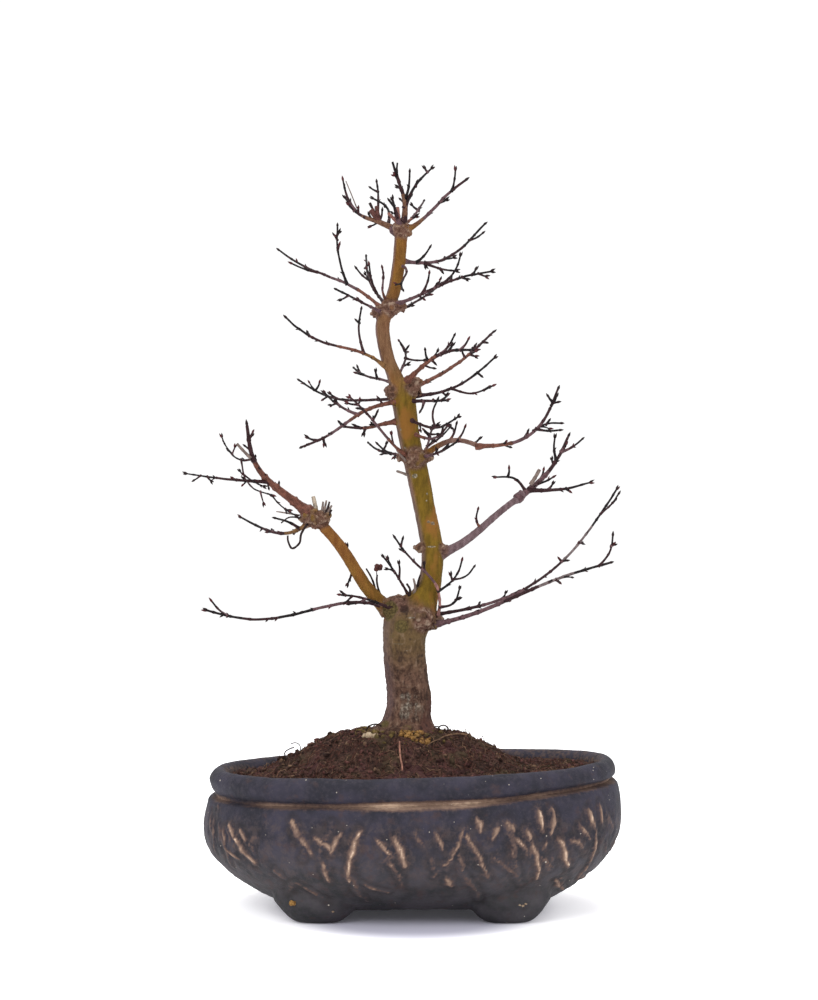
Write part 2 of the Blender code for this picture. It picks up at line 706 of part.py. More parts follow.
class Space:
    """What is already there, so that limbs keep clear of each other."""

    def __init__(self):
        self.taken = []  # owner, point and radius
        self.surfaces = []

    def add(self, owner, line, radii):
        self.taken += [(owner, point, radius) for point, radius in samples(line, radii)]

    def add_surface(self, made):
        """A finished solid that stems start from."""
        mesh = made.data
        points = [v.co / MM for v in mesh.vertices]
        self.surfaces.append(BVHTree.FromPolygons(points, [p.vertices[:] for p in mesh.polygons]))

    def outside_by(self, point):
        """How far outside the nearest surface a point lies, below zero inside one."""
        least = math.inf
        for tree in self.surfaces:
            far = tree.find_nearest(point)[3]
            least = min(least, -far if is_inside(tree, point) else far)
        return least

    def clearance(self, owner, line, radii, skip):
        """The least gap from a line, but for a share at its start, to the surfaces and others' limbs."""
        mine = samples(line, radii)
        mine = mine[int(len(mine) * skip) :]
        gaps = [self.outside_by(point) - radius for point, radius in mine]
        others = [(point, radius) for name, point, radius in self.taken if name != owner]
        if others:
            theirs = np.array([point for point, _ in others])
            around = np.array([radius for _, radius in others])
            for point, radius in mine:
                gaps.append((np.linalg.norm(theirs - np.array(point), axis=1) - around).min() - radius)
        return min(gaps)

    def start(self, line, radius):
        """The line without the part inside a surface: its blunt end lies a gap outside."""
        for i, (low, high) in enumerate(zip(line, line[1:])):
            step = (high - low).normalized() * START_STEP
            for k in range(int((high - low).length / START_STEP)):
                here = low + step * k
                after = [p for p in line[i + 1 :] if (p - here).length > radius]
                way = (after[0] - here).normalized()
                across = way.orthogonal().normalized()
                beside = way.cross(across)
                turns = [2 * math.pi * k / RIM_POINTS for k in range(RIM_POINTS)]
                rim = [(across * math.cos(a) + beside * math.sin(a)) * radius for a in turns]
                places = [here, *(here + way * radius * ahead + off for ahead in (0, 1) for off in rim)]
                if all(self.outside_by(place) >= GAP for place in places):
                    return [here, *after]
        raise ValueError("a limb never leaves its carrier")


def make_shoots(name, parent, radii, shoots, space, rng):
    """The listed shoots of a line that find room, each with its own shoots."""
    grown = []
    for shoot in shoots:
        root, _ = along(parent, shoot.share)
        length = math.hypot(shoot.right, shoot.up)
        steps = min(MOST_STEPS, 2 + int(length / LIMB_STEP))
        at_root = 2 * radii[int(min(shoot.share, 1) * (len(radii) - 1))]
        base = max(TWIG_THICK, min(at_root * SHOOT_SHARE, TWIG_THICK + length * SHOOT_THICKENING))
        thick = taper((base, TWIG_THICK), steps + 1)
        bow = shoot.bow or -SHOOT_BOW * length * math.copysign(1, shoot.right)
        for lean in [rng.uniform(-LEAN_MOST, LEAN_MOST) * length for _ in range(LEAN_TRIES)]:
            tip = root + Vector((shoot.right, lean, shoot.up))
            line = bent(root, tip, bow, 0, lean * LEAN_BEND, steps)
            if abs(tip.y) < DEPTH_REACH and space.clearance(name, line, thick, SHOOT_SKIP) > CLEARANCE:
                grown.append((line, thick))
                space.add(name, line, thick)
                grown += make_shoots(name, line, thick, shoot.shoots, space, rng)
                break
    return grown


def make_twigs(name, stem, lines, space, rng):
    """Pairs of short twigs at the nodes of each line, one pair across the next."""
    room = SPREAD * (stem[-1] - stem[0]).length + SPREAD_LEAST
    thick = taper((TWIG_THICK, TWIG_THICK * TWIG_TIP), 3)
    grown = []
    for line, _ in lines:
        nodes = int(sum((b - a).length for a, b in zip(line, line[1:])) / NODE_SPACING)
        turned = rng.random() * math.pi
        for node in range(nodes):
            root, way = along(line, (node + 1) / (nodes + LAST_NODE))
            across = Vector((0, 1, 0)).cross(way).normalized()
            turned += math.pi / 2
            for angle in (turned, turned + math.pi):
                chance, size = rng.random(), rng.uniform(*TWIG_LENGTH)
                out = across * math.cos(angle) + way.cross(across) * math.sin(angle)
                tip = root + (way * math.cos(TWIG_ANGLE) + out * math.sin(TWIG_ANGLE)) * size
                leaves = abs(tip.y) > DEPTH_REACH or tip.z > CROWN_TOP
                if chance > TWIG_CHANCE or leaves or min((tip - p).length for p in stem) > room:
                    continue
                twig = [root, root.lerp(tip, 0.5) - Vector((0, 0, TWIG_SAG * size)), tip]
                if space.clearance(name, twig, thick, TWIG_SKIP) > CLEARANCE:
                    grown.append((twig, thick))
                    space.add(name, twig, thick)
    return grown


def limb_line(limb, tips):
    """The middle line of a limb from its root to its tip."""
    if limb.source in tips:
        root = tips[limb.source]
    else:
        root = trunk_axis(limb.source) + Vector((limb.aside, 0, 0))
    tip = Vector(limb.tip)
    steps = max(MOST_STEPS, round((tip - root).length / LIMB_STEP))
    return bent(root, tip, limb.bow, limb.sway, limb.lean, steps)


def make_bough(limb, tips, space):
    """One tapering limb with its spurs, and the burl at its tip if it has one."""
    look = material(limb.name + " bark", BARK, 0.75)
    rng = random.Random(f"{limb.name} {SEED}")
    line = space.start(limb_line(limb, tips), corner(limb.thick[0] / 2, BOUGH_SIDES))
    radii = taper(limb.thick, len(line))
    space.add(limb.name, line, radii)
    pieces = [tube(limb.name, line, radii, BOUGH_SIDES, look)]
    for path, thick in make_shoots(limb.name, line, radii, limb.shoots, space, rng):
        pieces.append(tube("spur", path, thick, TWIG_SIDES, look))
    if limb.name in BURLS:
        pieces.append(ellipsoid("burl", limb.tip, BURLS[limb.name], look))
    tips[limb.name] = Vector(limb.tip)
    return fuse(pieces)


def make_mass(limb, tips, space):
    """One stem with its shoots and the twigs that the rule adds."""
    look = material(limb.name + " bark", TWIG_BARK, 0.7)
    rng = random.Random(f"{limb.name} {SEED}")
    stem_sides = STOUT_SIDES if limb.thick[0] > STOUT else TWIG_SIDES
    line = space.start(limb_line(limb, tips), corner(limb.thick[0] / 2, stem_sides))
    radii = taper(limb.thick, len(line))
    space.add(limb.name, line, radii)
    lines = [(line, radii), *make_shoots(limb.name, line, radii, limb.shoots, space, rng)]
    lines += make_twigs(limb.name, line, lines, space, rng)
    pieces = []
    for number, (path, thick) in enumerate(lines):
        sides = TWIG_SIDES if number else stem_sides
        pieces.append(tube(limb.name, path, thick, sides, look, number * SIDE_TURN))
    return fuse(pieces)


def main():
    for old in list(bpy.data.objects):
        bpy.data.objects.remove(old)
    make_pot()
    make_soil()
    space = Space()
    space.add_surface(make_trunk())
    tips = {}
    for bough in [make_bough(limb, tips, space) for limb in BOUGHS]:
        space.add_surface(bough)
    for limb in MASSES:
        make_mass(limb, tips, space)


main()
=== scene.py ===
"""Looks of a leafless Japanese maple bonsai: bark, twigs, buds, soil and a footed oval pot.

Sizes are in millimetres and become metres when a mesh is made. Heights (z) are above the surface that the
pot's feet stand on, x runs to the right and y runs away from the viewer, both from the middle of the pot.

The limbs grow by the same rule as the solids, from the same named sizes, and are carried on to nodes, buds
and finer spurs. One mesh with the bark's relief stands for the trunk and the boughs.
"""

import math
import random
from collections import namedtuple

import bmesh
import bpy
import numpy as np
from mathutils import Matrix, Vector, kdtree, noise
from mathutils.bvhtree import BVHTree


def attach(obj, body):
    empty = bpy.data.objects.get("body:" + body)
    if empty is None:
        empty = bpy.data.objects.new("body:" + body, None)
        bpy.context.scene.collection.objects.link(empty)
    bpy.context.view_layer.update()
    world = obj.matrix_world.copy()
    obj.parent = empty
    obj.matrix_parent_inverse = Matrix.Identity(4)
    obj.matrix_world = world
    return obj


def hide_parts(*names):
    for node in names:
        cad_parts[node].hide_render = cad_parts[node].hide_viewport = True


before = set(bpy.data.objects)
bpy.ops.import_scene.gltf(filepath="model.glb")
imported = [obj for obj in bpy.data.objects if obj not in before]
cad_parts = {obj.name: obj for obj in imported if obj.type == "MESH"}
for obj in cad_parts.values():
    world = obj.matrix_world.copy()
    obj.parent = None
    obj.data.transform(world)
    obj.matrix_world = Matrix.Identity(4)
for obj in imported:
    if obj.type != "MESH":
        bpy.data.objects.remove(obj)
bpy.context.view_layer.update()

MM = 0.001
SEED = 41
GAP = 0.3  # between solids that would touch

# The camera that the photograph was taken with
CAMERA_PLACE = (-2.1, -952.5, 190.0)
CAMERA_TILT = math.radians(3.04)
FOCAL_PIXELS = 1590.0
IMAGE_WIDTH = 818.0

# The pot
POT_LENGTH = 247.0
POT_DEPTH = 164.0
OVAL = 2.3  # power of the plan's oval, where 2 is an ellipse
BASE_HEIGHT = 7.5
BASE_INSET = 41.0
BELLY_HEIGHT = 52.0
BELLY_FULLNESS = 2.1  # power of the wall's curve below the belly
SHOULDER_HEIGHT = 66.5
SHOULDER_INSET = 3.0
GROOVE_INSET = 5.8
RIM_MIDDLE = 76.2
RIM_HALF_HEIGHT = 7.6
RIM_HALF_WIDTH = 5.5
RIM_INSET = 9.0
RIM_TILT = 3.3  # how much higher the right end stands, and lower the left
RIM_SADDLE = 1.5  # how much higher both ends stand
LOW_FULLNESS = 10.0  # how much further out the long sides stand low down
POT_WALL = 8.0
FOOT_PLACE = (53.5, 44.0)
FOOT_FLAT = (13.0, 8.0)  # half sizes of its underside
FOOT_SPREAD = (12.0, 7.0)  # how much wider it gets
FOOT_TOP = 14.0
FOOT_SIDES = 64

# The soil
SOIL_EDGE = 78.5
GROUND = 103.0
MOUND_MIDDLE = -9.0
MOUND_FLAT = 27.0
MOUND_REACH = 92.0
MOUND_SQUEEZE = 1.4  # how much shorter the mound is from front to back
LUMP_HEIGHT = 2.2
LUMP_SIZE = 13.0
LUMP_FADE = 12.0
SOIL_RINGS = 130
SOIL_SIDES = 300

# The trunk: height, x, y and thickness of each station
TRUNK = (
    (103, -4, 0, 31),
    (112, -3, 0, 28),
    (122, -2, 0, 26.5),
    (139, -4, -1, 25.5),
    (153, -5, -2, 25),
    (163, -4, -2, 27),
    (172, -1, -1, 30),
    (180, 4, 0, 22),
    (188, 9, 0, 16),
    (196, 11, 0, 13.5),
    (206, 12, 1, 13.3),
    (217, 11, 3, 13.4),
    (237, 7, 5, 13.2),
    (257, 3, 5, 13.8),
    (276, -1.5, 3, 13.2),
    (291, -4, 1, 14),
    (303, -6, 0, 14.5),
    (315, -10.5, -2, 10),
    (326, -15, -3, 8.6),
    (343, -18, -2, 8.6),
    (356, -16, 1, 9),
    (366, -11.5, 3, 8.2),
    (380, -9, 3, 7.8),
    (393, -7.5, 1, 7.8),
    (404, -7, 0, 8),
)
TRUNK_SIDES = 32
TRUNK_STEP = 2.0
TRUNK_SINK = 4.0  # how far the bark goes on below the surface of the soil

# The trunk's flare at the soil: bearing in degrees and how far it reaches
FLARE = ((180, 7.5), (-15, 3), (75, 5), (250, 4), (310, 3))
FLARE_HEIGHT = 9.0

# Burls and whorl knobs: x, y, z of the middle, half width and half height
KNOBS = (
    (-9, -1, 175, 9.5, 8.5),
    (5, -9, 169, 7, 6.5),
    (12, -1, 168, 6, 5),
    (5, 1, 212, 3.8, 3),
    (17, 2, 210.5, 4, 4),
    (1.5, 0, 266, 6.5, 6),
    (-6, 3, 267, 3.5, 3),
    (9, 3, 267, 3.6, 3.4),
    (-12, -1, 306, 5, 4.5),
    (0, -1, 309, 6, 6),
    (-20, 1, 354, 4.6, 4),
    (-13, -1, 356, 5, 4.5),
    (-7.5, 2, 358, 4, 3.4),
    (-6.5, 0, 404, 5.4, 5),
)

# A limb: the height on the trunk or the bough that it leaves, its tip, how far its line bows and sways, its
# thickness at the base and at the tip, its shoots, how far it bows to the back, and how far right of the
# trunk's middle it starts
Limb = namedtuple("Limb", "name source tip bow sway thick shoots lean aside", defaults=((), 0, 0))

# A shoot: how far along its parent it leaves, then how far its tip lies to the right and up from there
Shoot = namedtuple("Shoot", "share right up bow shoots", defaults=(0, ()))

BOUGHS = (
    Limb(
        "bough_left", 169, (-58, -6, 229), 1.5, 2, (8.2, 6.2),
        (Shoot(0.42, -3, -11), Shoot(0.52, 0, 6), Shoot(1, -2, 12)), aside=-5,
    ),
    Limb("bough_mid_right", 206, (65, 10, 243), -2.5, -1, (5.3, 3.8), (Shoot(0.45, -2, 11, 2),)),
    Limb(
        "bough_upper_right", 264, (40, -10, 272), 7, -1, (3.8, 2.8),
        (Shoot(0.45, 5, 11), Shoot(0.6, 5, 8), Shoot(0.88, 4, 3)),
    ),
)

# The burl at a bough's tip: half sizes along x, y and z
BURLS = {"bough_left": (8.5, 6.5, 5.5)}

MASSES = (
    Limb(
        "twigs_low_left", 172, (-118, -38, 175), -1.5, -5.5, (2.2, 1.5),
        (Shoot(0.5, -5, 5), Shoot(0.66, -4, -4), Shoot(0.89, -9, 8)),
    ),
    Limb(
        "twigs_stump_left", 174, (-42, -26, 184), 0, 1, (1.9, 1.3),
        (Shoot(0.5, -9, -3), Shoot(0.9, -4, 4)),
    ),
    Limb("twigs_stump_top", 176, (-17, -14, 206), -1, 0, (1.7, 1.2), (Shoot(0.45, 0, 9), Shoot(0.6, -4, 8))),
    Limb(
        "twigs_left_upper", "bough_left", (-97, -24, 283), 9, -2, (5, 1.6),
        (
            Shoot(0.31, 0, 5),
            Shoot(0.44, 1, -6),
            Shoot(0.42, -47, 4, 1, (Shoot(0.4, -4, 3), Shoot(0.75, 3, -3))),
            Shoot(0.52, -2, 5),
            Shoot(
                0.7, -15, 5, 3,
                (
                    Shoot(0.45, 20, -22, -6, (Shoot(0.3, 11, -6), Shoot(0.3, -4, 4), Shoot(0.98, 14, -12))),
                    Shoot(0.85, -6, 10),
                    Shoot(0.85, 2, 7),
                ),
            ),
            Shoot(0.78, -6, 6),
            Shoot(0.88, 4, 6),
        ),
    ),
    Limb(
        "twigs_left_lower", "bough_left", (-105, 22, 231), 9, 1, (3, 1.3),
        (Shoot(0.2, -14, 6, -1), Shoot(0.3, 5, -5), Shoot(0.45, -5, 4), Shoot(0.7, -4, -4)),
    ),
    Limb("twigs_back_left", 264, (-28, 58, 280), 1, -1, (2.4, 1.3), (Shoot(0.4, -8, 6), Shoot(0.6, 3, 8))),
    Limb("twigs_front_left", 264, (-36, -46, 297), 1, 1, (2.2, 1.3), (Shoot(0.61, 3, 6), Shoot(0.8, -6, 2))),
    Limb(
        "twigs_mid_left_low", 288, (-40, -8, 284), 1, -1, (3, 1.5),
        (Shoot(0.4, -1, 5), Shoot(0.6, -3, -8, 0, (Shoot(1, -6, 1),)), Shoot(0.7, -5, 3)),
    ),
    Limb(
        "twigs_mid_left", 300, (-63, -52, 268), -3, -2, (3, 1.4),
        (
            Shoot(0.43, -20, 14, 0, (Shoot(0.5, -3, 5),)),
            Shoot(0.6, -4, 6),
            Shoot(0.8, 2, -7),
            Shoot(0.86, -6, 2),
        ),
    ),
    Limb(
        "twigs_mid_left_back", 302, (-71, 42, 318), 7, -1, (2.1, 1.3),
        (Shoot(0.55, -6, 5), Shoot(0.8, 3, 7)),
    ),
    Limb(
        "twigs_whorl_left", 309, (-37, 50, 327), 1, -1, (2.2, 1.3),
        (Shoot(0.45, -1, 7), Shoot(0.75, -6, 2)),
    ),
    Limb(
        "twigs_high_left_low", 316, (-73, -38, 344), 0, -3, (2.3, 1.3),
        (Shoot(0.22, -2, 27, 2, (Shoot(0.7, -3, 4),)), Shoot(0.75, -2, 6)),
    ),
    Limb(
        "twigs_high_left", 354, (-83, 30, 398), -2, -2, (2.5, 1.3),
        (
            Shoot(0.38, -6, 35, 0, (Shoot(0.6, 1, 5), Shoot(0.85, 2, 4))),
            Shoot(0.64, -15, 4),
            Shoot(0.82, -1, 5),
        ),
    ),
    Limb("twigs_high_left_front", 353, (-44, -36, 361), 0, 0, (2, 1.3), (Shoot(0.5, -4, 5),)),
    Limb(
        "twigs_high_left_back", 358, (-29, 44, 397), 4, 0, (2.2, 1.3),
        (Shoot(0.3, -4, 16), Shoot(0.56, -8, 8)),
    ),
    Limb("twigs_high_front", 360, (-18, -20, 377), 2, 1, (1.6, 1.2)),
    Limb(
        "twigs_low_right", 163, (114, -34, 202.5), -2, -2, (3.2, 1.5),
        (Shoot(0.45, 4, 5), Shoot(0.7, 5, -3), Shoot(0.94, 7, 17, -2, (Shoot(0.7, 4, 3),))),
    ),
    Limb(
        "twigs_low_right_back", 170, (127, 34, 249), -22, 0, (2.3, 1.4),
        (Shoot(0.36, 7, 5), Shoot(0.62, -3, 5), Shoot(0.72, 1, 5), Shoot(0.88, 11, 12)),
    ),
    Limb(
        "twigs_fork", 167, (-10, -17, 217), -8, -3, (2, 1.3),
        (
            Shoot(0.12, 12, 11, -4),
            Shoot(0.3, 14, 18, -3, (Shoot(0.45, -1, 5), Shoot(0.5, 12, 7, -2))),
            Shoot(0.9, 1, 8),
        ),
        lean=-4, aside=17,
    ),
    Limb(
        "twigs_mid_right", "bough_mid_right", (96, 24, 281), -4, 0, (4, 1.5),
        (
            Shoot(0.1, -18, 9, -4, (Shoot(0.7, 1, 6),)),
            Shoot(0.14, 36, 4, -2, (Shoot(0.3, 4, 5), Shoot(0.6, 5, -3))),
            Shoot(0.25, 10, 4),
            Shoot(0.32, 3, 8),
            Shoot(0.6, -1, 5),
            Shoot(0.66, -1, 14),
            Shoot(0.78, 13, 8),
            Shoot(0.8, 4, 6),
        ),
    ),
    Limb(
        "twigs_upper_right", "bough_upper_right", (85, -28, 304), -12, 0, (2.8, 1.5),
        (
            Shoot(0.55, 16, 5, 2, (Shoot(0.5, 3, 5),)),
            Shoot(0.58, 13, -1),
            Shoot(0.85, 3, 6),
            Shoot(0.88, -3, 4),
        ),
    ),
    Limb("twigs_upper_right_front", 266, (26, -32, 273), -2, 0, (1.9, 1.3), (Shoot(0.6, 4, 6),)),
    Limb(
        "twigs_upper_right_back", 266, (13, 42, 289), -3, -1, (2.2, 1.3),
        (Shoot(0.45, 14, 12, -1), Shoot(0.7, -4, 6)),
    ),
    Limb(
        "twigs_right_low", 290, (26, -46, 286), -6, 1, (2.2, 1.3),
        (Shoot(0.6, 1, 16, 2), Shoot(0.8, 5, -3)),
    ),
    Limb("twigs_right_low_front", 282, (21, -26, 283), -6, 1, (2, 1.3), (Shoot(0.8, 0, 5),)),
    Limb(
        "twigs_right_stub", 300, (20, -22, 298), 0, 0, (2.2, 1.5),
        (Shoot(0.36, -3, -7), Shoot(0.85, 4, 4)),
    ),
    Limb(
        "twigs_whorl_right_front", 308, (36, -46, 324), 7, -1, (3.4, 1.5),
        (
            Shoot(0.35, -2, 7),
            Shoot(0.4, 5, -4),
            Shoot(0.54, 8, 11),
            Shoot(0.66, 3, 6),
            Shoot(0.81, 5, 7),
            Shoot(0.96, 3, 6),
        ),
    ),
    Limb(
        "twigs_whorl_right_back", 305, (51, 44, 349), -4, 0, (3, 1.5),
        (Shoot(0.6, -2, 6), Shoot(0.66, 6, -2), Shoot(0.85, 5, 0)),
    ),
    Limb(
        "twigs_whorl_right", 303, (49, -10, 325), -7, 0, (2.2, 1.3),
        (Shoot(0.4, 24, 0, -4, (Shoot(0.8, 5, 5),)), Shoot(0.75, 4, -3)),
    ),
    Limb("twigs_whorl_top", 312, (-8, 30, 341), -4, 1, (2, 1.2), (Shoot(0.58, 11, -2), Shoot(0.75, 3, 5))),
    Limb(
        "twigs_high_right", 357, (46, -30, 373), 2, -1, (2.4, 1.3),
        (
            Shoot(0.26, 4, 11),
            Shoot(0.4, 2, 5),
            Shoot(0.48, 11, 17, -2),
            Shoot(0.58, 0, 7),
            Shoot(0.7, 4, -2),
            Shoot(0.8, 3, 4),
        ),
    ),
    Limb("twigs_high_right_back", 352, (18, 40, 379), -2, 0, (2, 1.3), (Shoot(0.3, 6, 2), Shoot(0.7, 6, 2))),
    Limb(
        "twigs_top_right_low", 386, (45, 32, 415), -10, -1, (2.6, 1.4),
        (Shoot(0.15, 8, 8, -1), Shoot(0.23, 19, -4, -1, (Shoot(0.5, 3, -3),)), Shoot(0.77, 8, 5)),
    ),
    Limb("twigs_top_front", 384, (-6, -18, 365), 3, 2, (1.6, 1.2)),
    Limb(
        "twigs_top", 404, (-12, -4, 445), -4, -1, (4, 1.5),
        (
            Shoot(0.32, 16, 23, 2, (Shoot(0.5, 1, 6), Shoot(0.9, -2, 3))),
            Shoot(0.42, 3, 16),
            Shoot(0.6, -4, 3),
            Shoot(0.7, -1, 11),
        ),
    ),
    Limb("twigs_top_right", 402, (31, -26, 428), -1, -1, (2.4, 1.4), (Shoot(0.6, 5, 2), Shoot(0.8, 2, 11))),
    Limb("twigs_top_back", 405, (7, 34, 430), -1, 0, (2.2, 1.3), (Shoot(0.4, 6, 3), Shoot(0.7, -5, 5))),
    Limb(
        "twigs_top_left", 401, (-41, 14, 427), 2, -2, (4, 1.4),
        (
            Shoot(0.24, -9, 19, -5),
            Shoot(0.38, 2, 8),
            Shoot(0.42, 0, 27, -1),
            Shoot(0.5, -2, 7),
            Shoot(0.72, 0, 5),
            Shoot(0.78, -7, 17),
        ),
    ),
    Limb("twigs_top_left_front", 404, (-12, -20, 418), 0, 0, (3, 1.6), (Shoot(0.75, -3, 4),)),
    Limb("twigs_back_low", 214, (4, 62, 254), 0, 0, (3.4, 1.4), (Shoot(0.5, -6, 8), Shoot(0.7, 7, 5))),
    Limb("twigs_back_middle", 270, (-4, 56, 300), 0, 0, (2.8, 1.3), (Shoot(0.5, 6, 5), Shoot(0.7, -5, 7))),
    Limb("twigs_back_high", 336, (-17, 46, 362), 0, 0, (2.2, 1.3), (Shoot(0.5, -5, 5), Shoot(0.75, 5, 4))),
)

# The rule for shoots: each is a little thinner than its parent, and leans to the front or the back
LIMB_STEP = 9.0
MOST_STEPS = 5  # of a shoot
SHOOT_SHARE = 0.85
SHOOT_THICKENING = 0.05  # of its length, added to the thickness of a twig
SHOOT_BOW = 0.06
LEAN_MOST = 0.5
LEAN_TRIES = 8
LEAN_BEND = 0.15  # of the lean

# The rule that adds twigs to the shoots: pairs leave from nodes, one pair across the next
NODE_SPACING = 15.0
LAST_NODE = 0.6
TWIG_CHANCE = 0.3
TWIG_LENGTH = (5.0, 8.0)
TWIG_THICK = 1.2
TWIG_TIP = 0.9  # of its thickness at the base
TWIG_SAG = 0.05
TWIG_ANGLE = math.radians(50)
SPREAD = 0.45  # a mass keeps this share of its stem's length round the stem, and a little more
SPREAD_LEAST = 12.0
DEPTH_REACH = 82.0  # the crown stays over the pot from front to back
CROWN_TOP = 446.0

# How limbs keep clear of each other
CLEARANCE = 0.7
SAMPLES = 3  # points tested to each step of a line
RIM_POINTS = 12  # where a stem's blunt end is tested
START_STEP = 0.1
SHOOT_SKIP = 0.3  # share of a shoot near its parent that isn't tested
TWIG_SKIP = 0.4

TAPER = 0.8  # below 1, a limb thins sooner
BOUGH_SIDES = 8
STOUT = 3.5  # a thicker stem has more sides
STOUT_SIDES = 5
TWIG_SIDES = 3

# What the rule adds beyond the solids: fine round twigs with nodes, a few short spurs, and buds
FINE_STEP = 1.0
SLIM = 0.94  # the share of a twig's thickness in the solids that it really has
ROUND_SIDES = 7
SINK = 3.0  # how far a stem's root goes into its carrier
SHOOT_SINK = 0.6
COLLAR = 0.6  # how much thicker a stem is where it leaves its carrier
COLLAR_REACH = 2.2
UNEVEN = 0.12  # how much a twig's thickness changes, and over what length
UNEVEN_SIZE = 2.0

# How a fine twig strays from the smooth line: how far, over what length, from which radius on it strays no
# more, and how far from its root it strays in full
WANDER = 0.45
WANDER_SIZE = 9.0
WANDER_THICK = 2.0
WANDER_FROM = 4.0

# Nodes, each with a pair of spurs or side buds
NODE_EVERY = (8.0, 14.0)
FIRST_NODE = 0.7  # its share of the way between two
NODE_FREE = 2.5  # how much of a twig's tip has no node
NODE_SWELL = 0.35
NODE_REACH = 0.7  # half the length of the swelling
NODE_LEAN = (0.8, 0.6)  # how far the pair leans along the twig and away from it
ROOT_OUT = 0.6  # the share of the radius at which the pair starts

# Spurs
SPUR_CHANCE = 0.05
SPUR_LENGTH = (2.5, 5.0)
SPUR_THICK = (1.0, 0.8)
SPUR_BOW = 0.4
SPUR_SINK = 0.3
SPUR_ROOM = (2.0, 4.0)  # how far a spur's tip keeps inside the crown's depth and below its top

# Buds
BUD_LENGTH = (2.9, 4.1)
BUD_THICK = 1.6
BUD_SIDES = 6
BUD_PROFILE = ((0, 0.6), (0.2, 0.9), (0.4, 1), (0.65, 0.72), (0.88, 0.3), (1, 0.06))
BUD_MIX = (0, 0, 0, 1)  # numbers of the colours that a bud takes one of
BUD_SUNK = 0.4  # how far an end bud's root goes into the twig
SIDE_BUD = 0.5  # a side bud's share of an end bud
SIDE_BUD_CHANCE = 0.3
END_BUD_SIZE = (0.6, 0.55, 1.1)  # its share on a thread, what a millimetre of radius adds, and the most
END_BUD_TOP = CROWN_TOP + 2  # no end bud reaches above this
PAIRED = 0.4  # the chance that a twig ends in two buds, not one
PAIR_SUNK = 0.3
PAIR_OUT = 0.25  # how far each bud of a pair stands beside the tip
BUD_ANGLE = math.radians(16)  # how far it leans aside

# Shoots up to this length, and the rule's twigs, are drawn at a share of their length that differs from limb
# to limb as it does in the photograph. Below the least share only a bud is left.
SHORT_SHOOT = 9.0
LEAST_SHARE = 0.3
BORNE_WITHIN = 5.0  # a line grows only this near to one that is drawn
VIGOUR = 0.62
LIMB_VIGOUR = {
    "twigs_low_left": 0.2,
    "twigs_left_upper": 0.6,
    "twigs_left_lower": 0.35,
    "twigs_fork": 0.5,
    "twigs_low_right": 0.35,
    "twigs_low_right_back": 0.35,
    "twigs_mid_right": 0.55,
    "twigs_mid_left": 0.6,
    "twigs_high_left": 0.4,
    "twigs_high_left_low": 0.3,
    "twigs_whorl_right": 0.4,
    "twigs_whorl_right_back": 0.5,
    "twigs_right_low": 0.35,
    "twigs_right_low_front": 0.35,
    "twigs_upper_right_front": 0.3,
}

# Stems that are stouter than the source's by a factor
GIRTH = {"twigs_left_upper": 1.3, "twigs_mid_right": 1.1, "twigs_top_right": 1.15}

# Limbs whose shoots are finer than the source's by a factor and bear no spurs
SLENDER_SHOOTS = {"twigs_left_upper": 0.78}

# The colours of thin bark, and which of them a limb takes from its root to its tip
TWIG_COLOURS = {
    "grey": (0.1, 0.075, 0.075),
    "mauve": (0.066, 0.034, 0.038),
    "russet": (0.088, 0.033, 0.022),
    "ochre": (0.11, 0.055, 0.02),
    "pink": (0.19, 0.09, 0.08),
    "maroon": (0.021, 0.0072, 0.0086),
    "dark": (0.0055, 0.0032, 0.0038),
}
STEM_COLOURS = {
    "twigs_low_left": "maroon mauve dark maroon dark",
    "twigs_stump_left": "maroon dark maroon dark",
    "twigs_left_upper": "russet russet russet russet maroon maroon",
    "twigs_left_lower": "ochre maroon dark",
    "twigs_fork": "pink pink mauve maroon dark",
    "twigs_mid_right": "mauve mauve maroon maroon",
    "twigs_low_right": "mauve mauve maroon grey dark",
    "twigs_low_right_back": "maroon mauve maroon grey dark",
    "twigs_mid_left": "russet russet mauve maroon",
    "twigs_mid_left_low": "russet russet maroon",
    "twigs_upper_right": "russet mauve maroon",
    "twigs_whorl_right_back": "russet russet maroon",
    "twigs_whorl_right_front": "russet russet maroon dark",
    "twigs_high_left_low": "ochre russet maroon dark",
    "twigs_high_left": "russet mauve maroon dark",
    "twigs_top": "maroon maroon dark",
    "twigs_top_left": "mauve maroon dark",
    "twigs_top_right": "grey mauve mauve maroon",
}
PLAIN_COLOURS = ("russet mauve maroon", "mauve maroon dark", "maroon maroon dark")
SHOOT_COLOURS = ("maroon dark dark", "mauve maroon dark", "maroon maroon dark", "dark")
BOUGH_SHOOT_COLOURS = "russet maroon dark"
BUD_COLOURS = {"bud dark": (0.01, 0.004, 0.0045), "bud red": (0.046, 0.0105, 0.012)}

# The crown's pieces of twigs, and the height of a limb's tip up to which each takes it
CROWN_PIECES = {"twigs_below": 285, "twigs_between": 345, "twigs_above": 999}

# The bark of the trunk and the boughs
VOXEL = 0.58
SMOOTHINGS = 5
STEM_LUMP = 6.0  # how far the bark runs out along a stem
STEM_LUMP_THICK = 1.05
STEM_LUMP_SWELL = (0.9, 0.1)  # how much thicker it is at its start, on the trunk and on a bough

# Stems along which it runs out further: how far, and its radius at the trunk and where it ends
LONG_STEMS = {
    "twigs_top": (21.0, 2.2, 1.5),
    "twigs_top_left": (26.0, 2.3, 1.15),
    "twigs_top_right": (18.0, 2.1, 1.0),
}
CROWN_BARK = (403, 408)  # above these heights, where only the long stems are left, the bark is brown
STEM_SIDES = 12
BOUGH_FLARE = 0.35  # how much thicker a bough is where it leaves the trunk
BOUGH_FLARE_REACH = 5.0
ROUND_BOUGH_SIDES = 20

